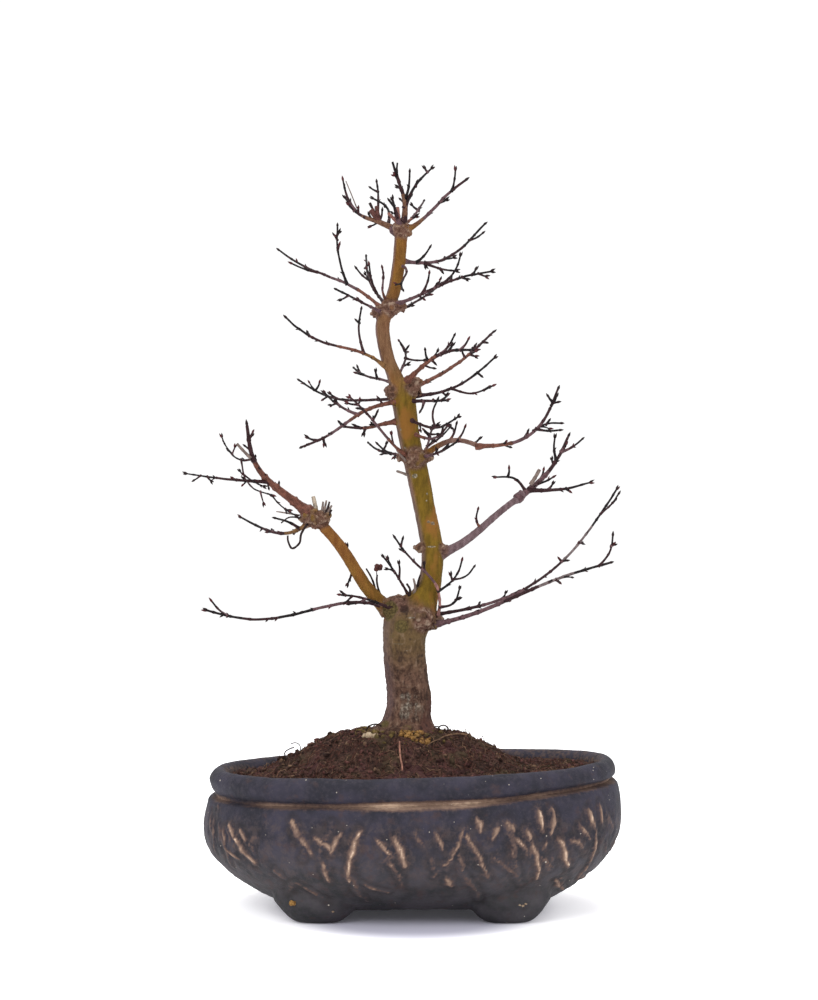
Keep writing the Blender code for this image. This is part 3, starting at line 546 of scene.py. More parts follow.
# Between which heights one bark turns into the next
SMOOTH_FROM = (174, 186)  # old bark into smooth bark, and lower on the right
OLIVE_OLD_FROM = (126, 162)
OLIVE_OLD_TO = (168, 180)
# where the painted shadow, dark red at the right of the trunk's foot, ends
RED_SHADOW_TO = (118, 140)
WARM_FROM = (296, 330)
MAUVE_TO = (340, 375)
LEFT_BOUGH_FROM = (186, 214)

# Between which places across it does so on the right boughs
RIGHT_BOUGH_FROM = (52, 56)
UPPER_BOUGH_FROM = (10, 22)

# The dark hollow near the top of the old trunk: its middle and half sizes
HOLLOW = ((-5.2, -12.5, 176.3), (3.4, 4.5, 3.8))
HOLLOW_DEPTH = 1.5

# The ring-shaped scar on the burl beside it: its middle, radius and height
SCAR = ((8.0, -16.0, 171.0), 4.4, 0.45)

# Lumps on a knob: how many, the least and the most of their share of its size, and how uneven the knob is
KNOB_LUMPS = (7, (0.22, 0.38), 0.2)
BURL_LUMPS = (16, (0.14, 0.28), 0.3)
KNOT_LUMPS = (4, (0.3, 0.5), 0.3)

# Small swellings where boughs pass into their twigs: x, y, z and half size
BOUGH_KNOTS = ((66, 10, 244, 2.9), (63, 9, 241, 2.5), (40, -10, 272, 2.0))

# Moss and pale scars on the bark: kind, x, y, z, half width, half height and how strongly they show
PATCHES = (
    ("moss", -13, -8, 174.0, 7.5, 9.0, 1.0),
    ("moss", -6.8, -16, 165.3, 6.2, 5.8, 1.0),
    ("moss", -13, -12, 160.0, 4.0, 3.0, 0.45),
    ("moss", -15, -8, 107.0, 7.0, 4.5, 0.75),
    ("moss", -3, -15, 106.0, 6.0, 4.0, 0.45),
    ("pale", -3, -14, 124.0, 10.0, 4.0, 0.52),
    ("pale", 0, -14, 116.0, 13.5, 9.5, 0.56),
    ("pale", 1.5, -1.0, 255.0, 2.6, 2.2, 1.0),
    ("pale", 12.5, -2.5, 226.6, 2.4, 1.7, 1.0),
    ("pale", 9.6, -2.8, 227.4, 1.8, 1.3, 1.0),
    ("pale", 11.2, -1.6, 235.0, 1.5, 1.4, 1.0),
    ("pale", 8.5, -1.4, 240.0, 1.1, 1.1, 0.9),
    ("pale", 9.0, -1.2, 244.3, 1.5, 1.4, 1.0),
    ("pale", -4.0, 1.2, 262.0, 1.5, 1.5, 0.9),
    ("pale", -4.5, -1.6, 272.0, 1.3, 1.3, 0.9),
    ("pale", -7.0, -2.6, 283.0, 1.3, 1.3, 0.9),
    ("pale", 11, -4.5, 212.5, 4.5, 0.9, 0.9),
    ("pale", 2, -13, 181.0, 1.2, 1.2, 0.8),
    ("pale", -1, -15, 170.5, 4.0, 1.1, 0.75),
    ("pale", 1.5, -15, 164.0, 1.0, 6.0, 0.7),
    ("pale", -17, -7, 180.0, 1.8, 1.5, 0.75),
    ("pale", -20, -4, 188.0, 0.9, 2.0, 0.6),
    ("pale", -8, -14, 155.0, 6.0, 0.6, 0.6),
    ("pale", -5, -14, 151.0, 6.0, 0.6, 0.55),
)
PATCH_MIDDLE = 0.4  # the share of a patch that is full

# Strokes pressed into the pot's wall. Seen from the front: where one starts, how far it runs to the right and
# up, how far its middle bows to the left of its way, its width, and how brightly its clay is wiped and its
# painted highlight shows
Stroke = namedtuple("Stroke", "x z right up bow width bright")
STROKES = (
    Stroke(-111, 65, 0, -3, 0, 1.6, 1.0),
    Stroke(-103, 54, 15, -19, -1, 3.2, 0.85),
    Stroke(-106, 42, 9, -6, 0, 2.2, 0.5),
    Stroke(-107, 52, 1, -7, 0, 2.2, 0.5),
    Stroke(-96, 53, 3, -6, 0, 2.4, 0.5),
    Stroke(-66, 59, 11, -16, -1, 3.4, 0.55),
    Stroke(-53, 52, 8, -7, 0, 3.2, 0.6),
    Stroke(-40, 54, -5, -10, 0, 3.0, 0.6),
    Stroke(-29, 55, -6, -27, -2, 2.8, 1.0),
    Stroke(-49, 38, 3, -11, 0, 2.6, 0.5),
    Stroke(-19, 51, 6, -7, 0, 2.8, 0.6),
    Stroke(-10, 52, 6, -15, 0, 3.2, 1.0),
    Stroke(1, 55, 5, -7, 0, 2.4, 0.3),
    Stroke(12, 55, 4, -8, 0, 2.6, 0.5),
    Stroke(28, 57, -17, -26, 2, 1.8, 0.6),
    Stroke(29, 53, 12, -24, 1, 2.2, 0.65),
    Stroke(25, 42, 2, -8, 0, 2.6, 0.4),
    Stroke(35, 62, 2, -6, 0, 3.0, 0.7),
    Stroke(46, 57, -3, -5, 0, 2.6, 0.5),
    Stroke(19, 29, 2, -4, 0, 4.0, 0.6),
    Stroke(51, 59, 4, -3, 0, 3.0, 0.5),
    Stroke(45, 41, 10, -9, 0, 1.6, 0.6),
    Stroke(53, 46, 2, -6, 0, 1.6, 0.4),
    Stroke(54, 54, 8, -12, 2, 2.0, 0.5),
    Stroke(62, 55, 7, -28, 2, 2.6, 0.9),
    Stroke(69, 63, 2, -7, 0, 2.8, 1.0),
    Stroke(76, 63, 0, -11, 1, 2.6, 0.7),
    Stroke(73, 48, -2, -5, 0, 2.0, 0.3),
    Stroke(71, 40, 6, -6, 0, 2.4, 0.5),
    Stroke(81, 49, 6, -17, 0, 2.8, 0.9),
    Stroke(87, 49, 9, -8, 2, 2.2, 0.6),
    Stroke(98, 60, 4, -6, 0, 2.2, 0.8),
    Stroke(105, 61, 2, -6, 0, 2.0, 0.8),
    Stroke(93, 55, 6, -7, 0, 2.4, 0.6),
    Stroke(103, 52, -10, -30, 3, 2.0, 0.6),
    Stroke(80, 25, 6, -9, 0, 3.0, 0.5),
    Stroke(-63, 25, 17, -11, 0, 1.6, 0.4),
    Stroke(-29, 27, 16, -6, -1, 1.4, 0.25),
)
STROKE_RAISE = 0.8
STROKE_EDGE = 0.5  # how far the lit edge of a stroke stands above the rest of it
STROKE_MOAT = 0.55  # how deep the clay is pressed round a stroke
STROKE_SAMPLES = 40
STROKE_WIPE = 0.84  # how strongly the strokes are wiped, beside the groove
STROKE_WARP = 1.3  # how far the strokes' outlines wander
BACK_STROKES = 46  # round the ends and the back
FAINT_STROKES = 28  # on each side, under the others

# What the rule deals out: the heights where strokes start, the share of long ones, how far long and short
# ones run down and across, and how far across and how low a stroke may reach
DEALT_INSET = 7
DEALT_FROM = (24, 60)
LONG_SHARE = 0.3
LONG_RUN = ((16, 26), (-10, 12))
SHORT_RUN = ((5, 12), (-5, 6))
STROKE_END = 114
STROKE_LOWEST = 15

# The skins of the bowl and the rim
BOWL_STEPS = 40
BOWL_SIDES = 240
POT_VOXEL = 1.1
POT_SMOOTHINGS = 5
RIM_SIDES = 540
GROOVE_BOW = 1.4  # the groove runs this much higher than its plane, and more towards its ends
GROOVE_ENDS = (1.0, 3.9)
FOOT_ROUND = 3.5  # how much rounder the feet are below than the solids
FOOT_RISES = (0, 0, 0.02, 0.05, 0.15, 0.3, 0.5, 0.75, 1, 1.25, 1.5)  # a foot's rings, as shares of its height

# Ochre grit at the trunk's foot: the middle of the patch, its half sizes and the number of lumps
GRIT_MIDDLE = (1.5, -24.0)
GRIT_HALF = (8.5, 4.4)
GRIT_LUMPS = 52

# A pale pebble of three lumps: where it lies, and each lump's place beside it and size
PEBBLE = (-25.0, -22.0)
PEBBLE_LUMPS = ((0, 2.8), (3.4, 2.2), (-2.8, 1.8))

# The looks of the soil: the darker and the lighter colour of each
MOUND_COLOURS = ((0.009, 0.0045, 0.004), (0.085, 0.044, 0.033))
CRUMB_COLOURS = {
    "crumb dark": ((0.012, 0.006, 0.005), (0.045, 0.022, 0.017)),
    "crumb red": ((0.052, 0.021, 0.019), (0.135, 0.06, 0.052)),
    "crumb tan": ((0.08, 0.046, 0.03), (0.2, 0.125, 0.08)),
    "moss": ((0.04, 0.027, 0.01), (0.18, 0.125, 0.045)),
    "ochre grit": ((0.095, 0.042, 0.012), (0.38, 0.215, 0.07)),
    "pale grit": ((0.24, 0.17, 0.11), (0.5, 0.4, 0.28)),
}
CRUMBS = 3200
SMALL_SHARE = 0.85
SMALL_CRUMB = (0.4, 0.85)
LARGE_CRUMB = (0.85, 1.7)
CRUMB_MIX = ("crumb dark",) * 5 + ("crumb red",) * 2 + ("crumb tan",)
MOSS_MIDDLE = -4.0
MOSS_REACH = 34.0  # how far from the trunk crumbs can be moss
MOSS_SHARE = 0.35
MOSS_LUMPS = 60

# The looks of fibres and roots: colour and roughness
FIBRE_COLOURS = {
    "fibre dark": ((0.02, 0.011, 0.008), 0.8),
    "fibre tan": ((0.125, 0.074, 0.045), 0.8),
    "root pink": ((0.2, 0.095, 0.068), 0.7),
    "fibre red": ((0.07, 0.028, 0.02), 0.8),
}
FIBRE_MIX = ("fibre dark",) * 2 + ("fibre tan",) + ("fibre red",) * 3
FIBRES = 3400
FIBRE_REACH = (100.0, 60.0)
FIBRE_LENGTH = (3, 10)
FIBRE_RADIUS = (0.1, 0.22)
LOOPS = 0.07  # the share of fibres that rise like loops
LOOP_RISE = (1.5, 4.5)
FLAT_RISE = (0.2, 1.3)
FIBRE_STEPS = 5
FIBRE_SIDES = 3
ROOT_SIDES = 6

# Roots and stray hairs on the soil: look, thickness and the places they pass
ROOTS = (
    ("root pink", 1.1, ((-7, -24, 102), (-7.5, -34, 98.5), (-7, -42, 92), (-6, -47, 87.5), (-6, -49, 84))),
    ("fibre tan", 0.8, ((14, -24, 99.5), (19, -22, 102), (26, -20, 103), (32, -18, 102.5))),
    ("fibre tan", 0.6, ((8, -30, 97), (12, -28, 99.5), (16, -26, 100.5))),
    (
        "fibre dark", 0.9,
        ((14.5, -8, 103.5), (16, -9, 106.4), (19, -9, 107), (21, -9, 105), (19.6, -10, 102.8)),
    ),
    ("fibre dark", 0.8, ((12, -6, 103.5), (13.4, -7, 106), (15.2, -7, 106), (16.6, -8, 103.5))),
    ("fibre dark", 0.9, ((-28, -8, 103), (-25, -9, 107), (-20, -9, 107.5), (-16, -10, 104))),
    ("fibre dark", 0.8, ((-75, -5, 86), (-75.5, -6, 90.5), (-73.5, -6, 92.5), (-70, -6, 94))),
    ("fibre dark", 0.7, ((-66, -5, 88), (-66.5, -6, 94.5), (-69, -6, 96.5), (-72, -6, 96))),
)

# Dead stubs, spikes and loops: look, thickness at the root and at the tip, and the places they pass
STUBS = (
    ("stub pale", 3.0, 2.6, ((-57, -7, 231), (-58, -7, 237), (-59.2, -7, 242.4))),
    (
        "stub dark", 1.5, 1.2,
        ((-62.5, -8, 226), (-66, -9.5, 220), (-67, -10, 214.5), (-71.3, -10, 211.3), (-73.7, -10, 215.4),
         (-74, -10, 219)),
    ),
    ("stub dark", 1.1, 0.8, ((-66, -8, 229), (-68.5, -10, 229.7), (-73.4, -11, 229.6), (-77.8, -12, 226.3))),
    ("stub grey", 1.1, 0.7, ((-67, -8, 231), (-76.8, -10, 232.6), (-80.9, -10, 233.2))),
    ("stub grey", 2.0, 1.2, ((-54, -7, 231), (-53.6, -8, 235), (-53.2, -8, 239.2))),
    ("stub grey", 1.8, 1.1, ((-53, -7, 231), (-52, -8, 236), (-51.2, -8, 240))),
    ("stub dark", 1.8, 1.2, ((-52, -7, 231), (-50.5, -8, 235), (-49.4, -8, 239.2))),
    ("stub grey", 2.0, 1.2, ((-52, -7, 230), (-50, -8, 233.5), (-48, -8, 237))),
    ("stub dark", 2.2, 1.4, ((-52, -7, 229), (-50, -8, 231), (-48.2, -8, 234.5))),
    ("stub grey", 2.0, 1.7, ((-95, -22, 264), (-99, -21, 268), (-103.3, -20, 272.6))),
    ("stub grey", 2.6, 2.2, ((71.5, 10, 250.5), (74.2, 9, 254.5), (77, 8, 259.6))),
    ("stub dark", 1.5, 1.0, ((-22.5, 0, 186), (-23, -2, 190), (-25, -4, 195), (-27.7, -4, 199.5))),
    ("stub dark", 1.5, 1.1, ((-19, 0, 183), (-20.5, -1.5, 187.5), (-21.3, -3, 192), (-21.1, -3, 195.8))),
    ("stub dark", 0.6, 0.5, ((-21.2, -3, 194.5), (-21.4, -3.6, 198), (-20.5, -5, 201))),
    ("stub red", 4.2, 3.4, ((-8.4, -2, 405), (-9, -3, 411), (-9.6, -3, 417.3))),
    ("stub red", 2.4, 1.8, ((-9, -3, 408), (-12, -4, 411), (-14.6, -4, 413.6))),
    ("stub maroon", 2.6, 3.8, ((-19.6, 5.5, 409.6), (-22.4, 5.5, 413.5), (-25, 6, 417.8))),
    ("stub maroon", 2.4, 2.6, ((-19.8, 5.5, 409.8), (-20.9, 5.5, 414.5), (-22, 6, 420.2))),
    ("stub dark", 1.2, 1.8, ((-22, 6, 414), (-24.2, 6, 418.5), (-26.1, 6, 422.3))),
    ("stub grey", 0.8, 0.6, ((-34, 10, 420), (-37.5, 11, 429), (-40.9, 12, 437.4))),
    ("stub dark", 1.8, 1.2, ((-2, -5, 183), (-1.5, -7, 187), (-3.5, -8, 190.5))),
    ("stub grey", 1.8, 1.2, ((1, -5, 184), (1.5, -8, 189), (0.5, -9, 193.5))),
    ("stub dark", 1.6, 1.0, ((3, -4, 188), (3.5, -7, 192), (4.5, -8, 195.5))),
    ("stub grey", 2.0, 1.4, ((-1, 3, 255), (-6, 0, 256.8), (-9.5, -2, 257.8))),
    ("stub grey", 2.0, 1.4, ((0, 0, 261), (-5, -3, 265), (-9.5, -5, 270.5))),
)
STUB_COLOURS = {
    "stub pale": (0.25, 0.205, 0.16),
    "stub grey": (0.12, 0.09, 0.078),
    "stub red": (0.16, 0.07, 0.058),
    "stub maroon": (0.062, 0.025, 0.021),
    "stub dark": (0.016, 0.009, 0.009),
    "dead leaf": (0.06, 0.022, 0.019),
}
STUB_SHOOT = 3  # the left bough's third shoot, which is the first of the dead stubs above
STUB_SIDES = 9
DEAD_LEAF = (-20.5, -5.0, 200.0)
LEAF_LUMPS = 12

# Grains stuck to the front feet: x, y, z, size and look
FOOT_GRAINS = (
    (-66.7, -57.4, 13.0, 2.0, "ochre grit"),
    (59.5, -57.4, 12.0, 0.9, "pale grit"),
    (61.3, -57.4, 11.6, 0.9, "pale grit"),
    (62.8, -57.4, 12.6, 0.9, "pale grit"),
    (-44.4, -56.0, 8.0, 0.7, "pale grit"),
)

# Lights: name, place and size in metres, and power in watts
LIGHTS = (
    ("key", (-0.7, -1.1, 1.1), 0.7, 12.0),
    ("fill", (1.1, -0.7, 0.7), 0.9, 4.0),
    ("top", (0.0, 0.1, 1.5), 1.1, 16.0),
)
LIGHT_AIM = (0.0, 0.0, 0.2)
WORLD_STRENGTH = 1.05
FLOOR_HALF = 3.0  # in metres
# The floor's painted shadow under the pot: its colour there, fading to the far colour
FLOOR_PAINTED_SHADOW = (0.52, 0.51, 0.61)
FLOOR_FAR = (0.99, 0.99, 0.99)
PAINTED_SHADOW_REACH = (0.08, 0.1)  # half sizes in metres of the painted shadow under the pot
FLOOR_FADE = (0.72, 1.12)  # shares of those, between which the floor turns from the painted shadow to the far colour
FLOOR_PAINTED_GLOW = (0.035, 0.38)  # a painted glow that the floor gives near the pot and farther out, lightening the pot's shadow at its sides
PAINTED_GLOW_COLOUR = (0.94, 0.93, 1.0)


def smoothstep(value, low, high):
    """Rises smoothly from 0 at low to 1 at high."""
    t = np.clip((value - low) / (high - low), 0, 1)
    return t * t * (3 - 2 * t)


class Nodes:
    """Short calls that build one material round its Principled shader. Sizes are in millimetres."""

    def __init__(self, name, roughness, specular=0.25):
        self.material = bpy.data.materials.new(name)
        self.material.use_nodes = True
        self.tree = self.material.node_tree
        self.shader = self.tree.nodes["Principled BSDF"]
        self.shader.inputs["Roughness"].default_value = roughness
        self.shader.inputs["Specular IOR Level"].default_value = specular
        self.place = self.add("ShaderNodeTexCoord").outputs["Object"]

    def add(self, kind, inputs=None, **settings):
        """A new node with its settings and with values or links on its sockets."""
        made = self.tree.nodes.new(kind)
        for key, value in settings.items():
            setattr(made, key, value)
        for key, value in (inputs or {}).items():
            self.give(made.inputs[key], value)
        return made

    def give(self, socket, value):
        if isinstance(value, bpy.types.NodeSocket):
            self.tree.links.new(value, socket)
        elif isinstance(value, tuple) and len(value) == 3 and socket.type == "RGBA":
            socket.default_value = (*value, 1)
        else:
            socket.default_value = value

    def stretched(self, stretch):
        return self.add("ShaderNodeMapping", {"Vector": self.place, "Scale": stretch}).outputs["Vector"]

    def noise(self, size, detail=3.0, rough=0.55, stretch=None):
        place = self.stretched(stretch) if stretch else self.place
        values = {"Vector": place, "Scale": 1 / (size * MM), "Detail": detail, "Roughness": rough}
        return self.add("ShaderNodeTexNoise", values).outputs["Fac"]

    def dots(self, size, low, high, share):
        """Small round dots in a share of the cells of one size."""
        values = {"Vector": self.place, "Scale": 1 / (size * MM)}
        cells = self.add("ShaderNodeTexVoronoi", values)
        dot = self.between(cells.outputs["Distance"], low, high, 1.0, 0.0)
        chance = self.add("ShaderNodeSeparateColor", {"Color": cells.outputs["Color"]}).outputs[0]
        return self.times(dot, self.between(chance, 1 - share, 1.01 - share))

    def between(self, value, low, high, start=0.0, end=1.0):
        """Turns smoothly from start to end while the value rises from low to high."""
        values = {"Value": value, "From Min": low, "From Max": high, "To Min": start, "To Max": end}
        return self.add("ShaderNodeMapRange", values, interpolation_type="SMOOTHSTEP").outputs["Result"]

    def math(self, operation, first, second):
        return self.add("ShaderNodeMath", {0: first, 1: second}, operation=operation).outputs["Value"]

    def times(self, first, second):
        return self.math("MULTIPLY", first, second)

    def broken(self, mask, fac, much):
        """The mask with a noise added that breaks its edge."""
        return self.math("ADD", mask, self.times(self.math("SUBTRACT", fac, 0.5), much))

    def mix(self, share, first, second):
        """The first colour turned into the second by a share."""
        return self.add("ShaderNodeMix", {0: share, 6: first, 7: second}, data_type="RGBA").outputs[2]

    def masks(self, name):
        """The three channels of a colour attribute that the mesh carries."""
        colour = self.add("ShaderNodeAttribute", attribute_name=name).outputs["Color"]
        return self.add("ShaderNodeSeparateColor", {"Color": colour}).outputs[:3]

    def layered(self, below, *layers):
        """A colour with others laid over it. Each layer has what between takes, then its colour."""
        for *span, colour in layers:
            below = self.mix(self.between(*span), below, colour)
        return below

    def colour(self, value):
        self.give(self.shader.inputs["Base Color"], value)

    def bump(self, height, depth, strength=1.0):
        values = {"Height": height, "Distance": depth * MM, "Strength": strength}
        normal = self.add("ShaderNodeBump", values).outputs["Normal"]
        self.give(self.shader.inputs["Normal"], normal)


def bark_look():
    """Bark that takes its colours from the masks on the mesh, with painted shade in its hollows, painted
    highlights on its crests, painted shading on the side that faces left and a painted shadow at the right of
    its foot.
    """
    look = Nodes("bark", 0.85, 0.12)
    # mauve: the right boughs' own bark, and painted shading on the side that faces left
    smooth, ochre, mauve = look.masks("bark")
    knot, moss, pale = look.masks("marks")
    relief_shading, olive_old, red_shadow = look.masks("tones")
    streak = look.noise(2.4, 5, 0.6, (1, 1, 0.25))
    spot = look.noise(1.3, 4, 0.6)
    broad = look.noise(9, 3, 0.5, (1, 1, 0.5))
    blotch = look.noise(3.4, 5, 0.7, (1, 1, 0.7))
    crease = look.noise(1.5, 4, 0.6, (0.3, 0.3, 1.3))
    old = look.layered(
        (0.023, 0.0105, 0.0075),
        (blotch, 0.38, 0.62, (0.1, 0.054, 0.037)),
        (streak, 0.35, 0.7, 0, 0.35, (0.08, 0.044, 0.028)),
        (spot, 0.52, 0.66, 0, 0.35, (0.15, 0.093, 0.066)),
        (crease, 0.5, 0.7, 0, 0.5, (0.03, 0.016, 0.011)),
        (look.broken(olive_old, blotch, 0.8), 0.1, 1.2, 0, 0.75, (0.092, 0.06, 0.022)),
        # painted shadow: dark red at the right of the trunk's foot
        (look.broken(red_shadow, blotch, 1.2), 0.35, 0.85, 0, 0.8, (0.055, 0.023, 0.018)),
        # painted shade in the bark's hollows and painted highlights on its crests
        (relief_shading, 0, 0.42, 0.75, 0, (0.016, 0.009, 0.008)),
        (relief_shading, 0.6, 1, 0, 0.35, (0.22, 0.15, 0.105)),
    )
    olive = look.layered(
        (0.062, 0.037, 0.0035),
        (streak, 0.25, 0.75, (0.128, 0.076, 0.008)),
        (broad, 0.48, 0.7, (0.145, 0.064, 0.012)),
    )
    lenticel = look.dots(4.2, 0.05, 0.09, 0.3)
    olive = look.mix(look.times(lenticel, 0.7), olive, (0.3, 0.24, 0.15))
    warm = look.layered((0.1, 0.037, 0.0085), (streak, 0.3, 0.75, (0.158, 0.07, 0.0165)))
    cool = look.layered((0.07, 0.043, 0.047), (streak, 0.3, 0.75, (0.14, 0.095, 0.103)))
    burl = look.layered(
        (0.05, 0.022, 0.016),
        (spot, 0.3, 0.7, (0.12, 0.065, 0.049)),
        # painted shade in the burl's hollows and painted highlights on its crests
        (relief_shading, 0.05, 0.5, 0.8, 0, (0.022, 0.01, 0.008)),
        (relief_shading, 0.5, 0.95, 0, 0.75, (0.27, 0.2, 0.15)),
    )
    green = look.layered((0.027, 0.0205, 0.0065), (spot, 0.35, 0.65, (0.085, 0.062, 0.021)))
    chalk = look.layered((0.062, 0.058, 0.047), (spot, 0.42, 0.66, (0.3, 0.265, 0.215)))
    colour = old
    for share, over in ((smooth, olive), (ochre, warm), (mauve, cool), (look.times(knot, 0.9), burl)):
        colour = look.mix(share, colour, over)
    look.colour(
        look.layered(
            colour,
            (look.broken(moss, spot, 0.9), 0.3, 0.75, 0, 0.9, green),
            (look.broken(pale, streak, 1.2), 0.3, 0.9, 0, 0.7, chalk),
        )
    )
    look.bump(look.math("ADD", streak, look.noise(0.6, 4)), 0.3, 0.55)
    return look.material


def twig_look(name, colour, rough=0.6):
    """Thin bark, a little lighter and darker from place to place."""
    look = Nodes(name, rough, 0.12)
    dark = tuple(0.65 * part for part in colour)
    light = tuple(1.35 * part for part in colour)
    look.colour(look.mix(look.between(look.noise(2.5, 4, 0.65), 0.35, 0.65), dark, light))
    look.bump(look.noise(0.8, 3, 0.6, (1, 1, 0.5)), 0.1, 0.6)
    return look.material


def glaze_look():
    """Matt blue-black clay, greyer below, with the raised strokes and the groove wiped to a tan, a painted
    highlight along one edge of each stroke and painted shade in the sunk clay round the strokes.
    """
    look = Nodes("clay", 0.74, 0.22)
    # the wiped clay with each stroke's painted highlight, the painted shade in the sunk clay round the
    # strokes, and brown wear
    wiped, sunk, worn = look.masks("wear")
    fine = look.noise(0.9, 4, 0.65)
    mottle = look.noise(2.6, 4, 0.65)
    cloud = look.noise(16, 4, 0.55)
    rust = look.noise(7, 4, 0.6)
    height = look.add("ShaderNodeSeparateXYZ", {"Vector": look.place}).outputs["Z"]
    blue = look.layered((0.009, 0.0086, 0.0147), (cloud, 0.35, 0.68, (0.0228, 0.0202, 0.0338)))
    base = look.layered(
        (0.0165, 0.0168, 0.0182),
        (cloud, 0.35, 0.65, (0.04, 0.036, 0.04)),
        (height, 0.018, 0.055, blue),
        (mottle, 0.45, 0.65, 0, 0.4, (0.033, 0.028, 0.037)),
    )
    belt = look.times(look.between(height, 0.012, 0.03), look.between(height, 0.056, 0.064, 1.0, 0.0))
    stain = look.times(belt, look.between(look.noise(5, 5, 0.7), 0.44, 0.62))
    base = look.mix(look.times(stain, 0.55), base, (0.05, 0.036, 0.036))
    base = look.layered(
        base,
        (fine, 0.62, 0.8, (0.06, 0.051, 0.054)),
        (rust, 0.55, 0.7, 0, 0.5, (0.04, 0.022, 0.021)),
    )
    # painted shade in the sunk clay round the strokes
    base = look.mix(look.times(sunk, 0.5), base, (0.012, 0.0085, 0.0085))
    # the wiped tan, brightest where each stroke's painted highlight runs
    strength = look.broken(wiped, mottle, 0.6)
    colour = look.layered(
        base,
        (strength, 0.06, 0.36, (0.07, 0.043, 0.036)),
        (strength, 0.28, 0.68, (0.185, 0.12, 0.087)),
        (strength, 0.66, 1.05, (0.46, 0.335, 0.245)),
    )
    colour = look.mix(look.times(worn, look.between(mottle, 0.4, 0.65)), colour, (0.085, 0.052, 0.038))
    speck = look.math("MAXIMUM", look.dots(4.5, 0.04, 0.08, 0.3), look.dots(11, 0.03, 0.05, 0.5))
    look.colour(look.mix(look.times(speck, 0.8), colour, (0.5, 0.45, 0.38)))
    look.bump(look.math("ADD", fine, mottle), 0.5, 0.6)
    return look.material


def soil_look(name, dark, light):
    """Crumbly soil between two colours, with patches that are damp, plum and mossy."""
    look = Nodes(name, 0.95, 0.1)
    look.colour(
        look.layered(
            dark,
            (look.noise(1.3, 5, 0.7), 0.32, 0.7, light),
            (look.noise(9, 4, 0.6), 0.42, 0.62, 0, 0.5, dark),
            (look.noise(20, 4, 0.6), 0.5, 0.64, 0, 0.4, (0.062, 0.0235, 0.027)),
            (look.noise(14, 4, 0.6), 0.5, 0.66, 0, 0.55, (0.047, 0.037, 0.019)),
        )
    )
    look.bump(look.noise(0.6, 5, 0.7), 0.6, 0.9)
    return look.material


def place(name, points, faces, looks, slot, nodes=(), numbers=None):
    """A piece of the scene that rides with the plant, from points in millimetres."""
    mesh = bpy.data.meshes.new(name)
    mesh.from_pydata((np.asarray(points, float) * MM).tolist(), [], faces)
    for look in looks:
        mesh.materials.append(look)
    if numbers is not None:
        mesh.polygons.foreach_set("material_index", numbers)
    mesh.polygons.foreach_set("use_smooth", [True] * len(mesh.polygons))
    made = bpy.data.objects.new(name, mesh)
    bpy.context.scene.collection.objects.link(made)
    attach(made, "root")
    if nodes:
        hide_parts(*nodes)
    return made


def paint(made, name, masks):
    """Gives each vertex three masks, which the materials read as one colour attribute."""
    layer = made.data.color_attributes.new(name, "FLOAT_COLOR", "POINT")
    values = np.ones((len(made.data.vertices), 4), np.float32)
    for k, mask in enumerate(masks):
        values[:, k] = mask
    layer.data.foreach_set("color", values.ravel())


def shell(rings):
    """Points and faces through rings of equal count, each end closed by a fan round its middle."""
    sides = len(rings[0])
    points = [tuple(p) for ring in rings for p in ring]
    faces = []
    for low in range(0, sides * (len(rings) - 1), sides):
        for i in range(sides):
            after = (i + 1) % sides
            faces.append((low + i, low + after, low + sides + after, low + sides + i))
    for first, turn in ((0, -1), (sides * (len(rings) - 1), 1)):
        middle = len(points)
        points.append(tuple(np.mean(points[first : first + sides], axis=0)))
        for i in range(sides):
            faces.append((middle, first + i, first + (i + 1) % sides)[::turn])
    return points, faces


def tube(path, radii, sides, turn=0.0):
    """Points and faces of a closed round tube along a path."""
    rings = []
    across = None
    for i, here in enumerate(path):
        way = (path[min(i + 1, len(path) - 1)] - path[max(i - 1, 0)]).normalized()
        if across is None:
            across = way.orthogonal().normalized()
        across = (across - way * across.dot(way)).normalized()
        beside = way.cross(across)
        angles = [turn + 2 * math.pi * k / sides for k in range(sides)]
        rings.append([here + (across * math.cos(a) + beside * math.sin(a)) * radii[i] for a in angles])
    return shell(rings)


def any_shift(rng):
    """A random shift that gives each shape its own noise."""
    return Vector([rng.uniform(-99, 99) for _ in range(3)])


def lump(middle, half, detail, rng, rough):
    """Points and faces of an uneven rounded lump."""
    work = bmesh.new()
    bmesh.ops.create_icosphere(work, subdivisions=detail, radius=1)
    shift = any_shift(rng)
    points = []
    for v in work.verts:
        out = 1 + rough * noise.noise(v.co * 1.6 + shift)
        points.append([m + h * c * out for m, h, c in zip(middle, half, v.co)])
    faces = [[v.index for v in face.verts] for face in work.faces]
    work.free()
    return points, faces


def on_ball(middle, half, rng, most=0.9):
    """A random place on a stretched ball, away from its poles."""
    turn = rng.uniform(0, 2 * math.pi)
    rise = rng.uniform(-most, most)
    flat = math.sqrt(1 - rise * rise)
    way = (flat * math.cos(turn), flat * math.sin(turn), rise)
    return [m + h * w for m, h, w in zip(middle, half, way)]


class Batch:
    """Many small closed shapes joined into one piece, each with the number of its look."""

    def __init__(self):
        self.points = []
        self.faces = []
        self.numbers = []

    def add(self, shape, number=0):
        points, faces = shape
        first = len(self.points)
        self.points += points
        self.faces += [tuple(first + i for i in face) for face in faces]
        self.numbers += number if isinstance(number, list) else [number] * len(faces)

    def place(self, name, looks, slot, nodes=()):
        return place(name, self.points, self.faces, looks, slot, nodes, self.numbers)


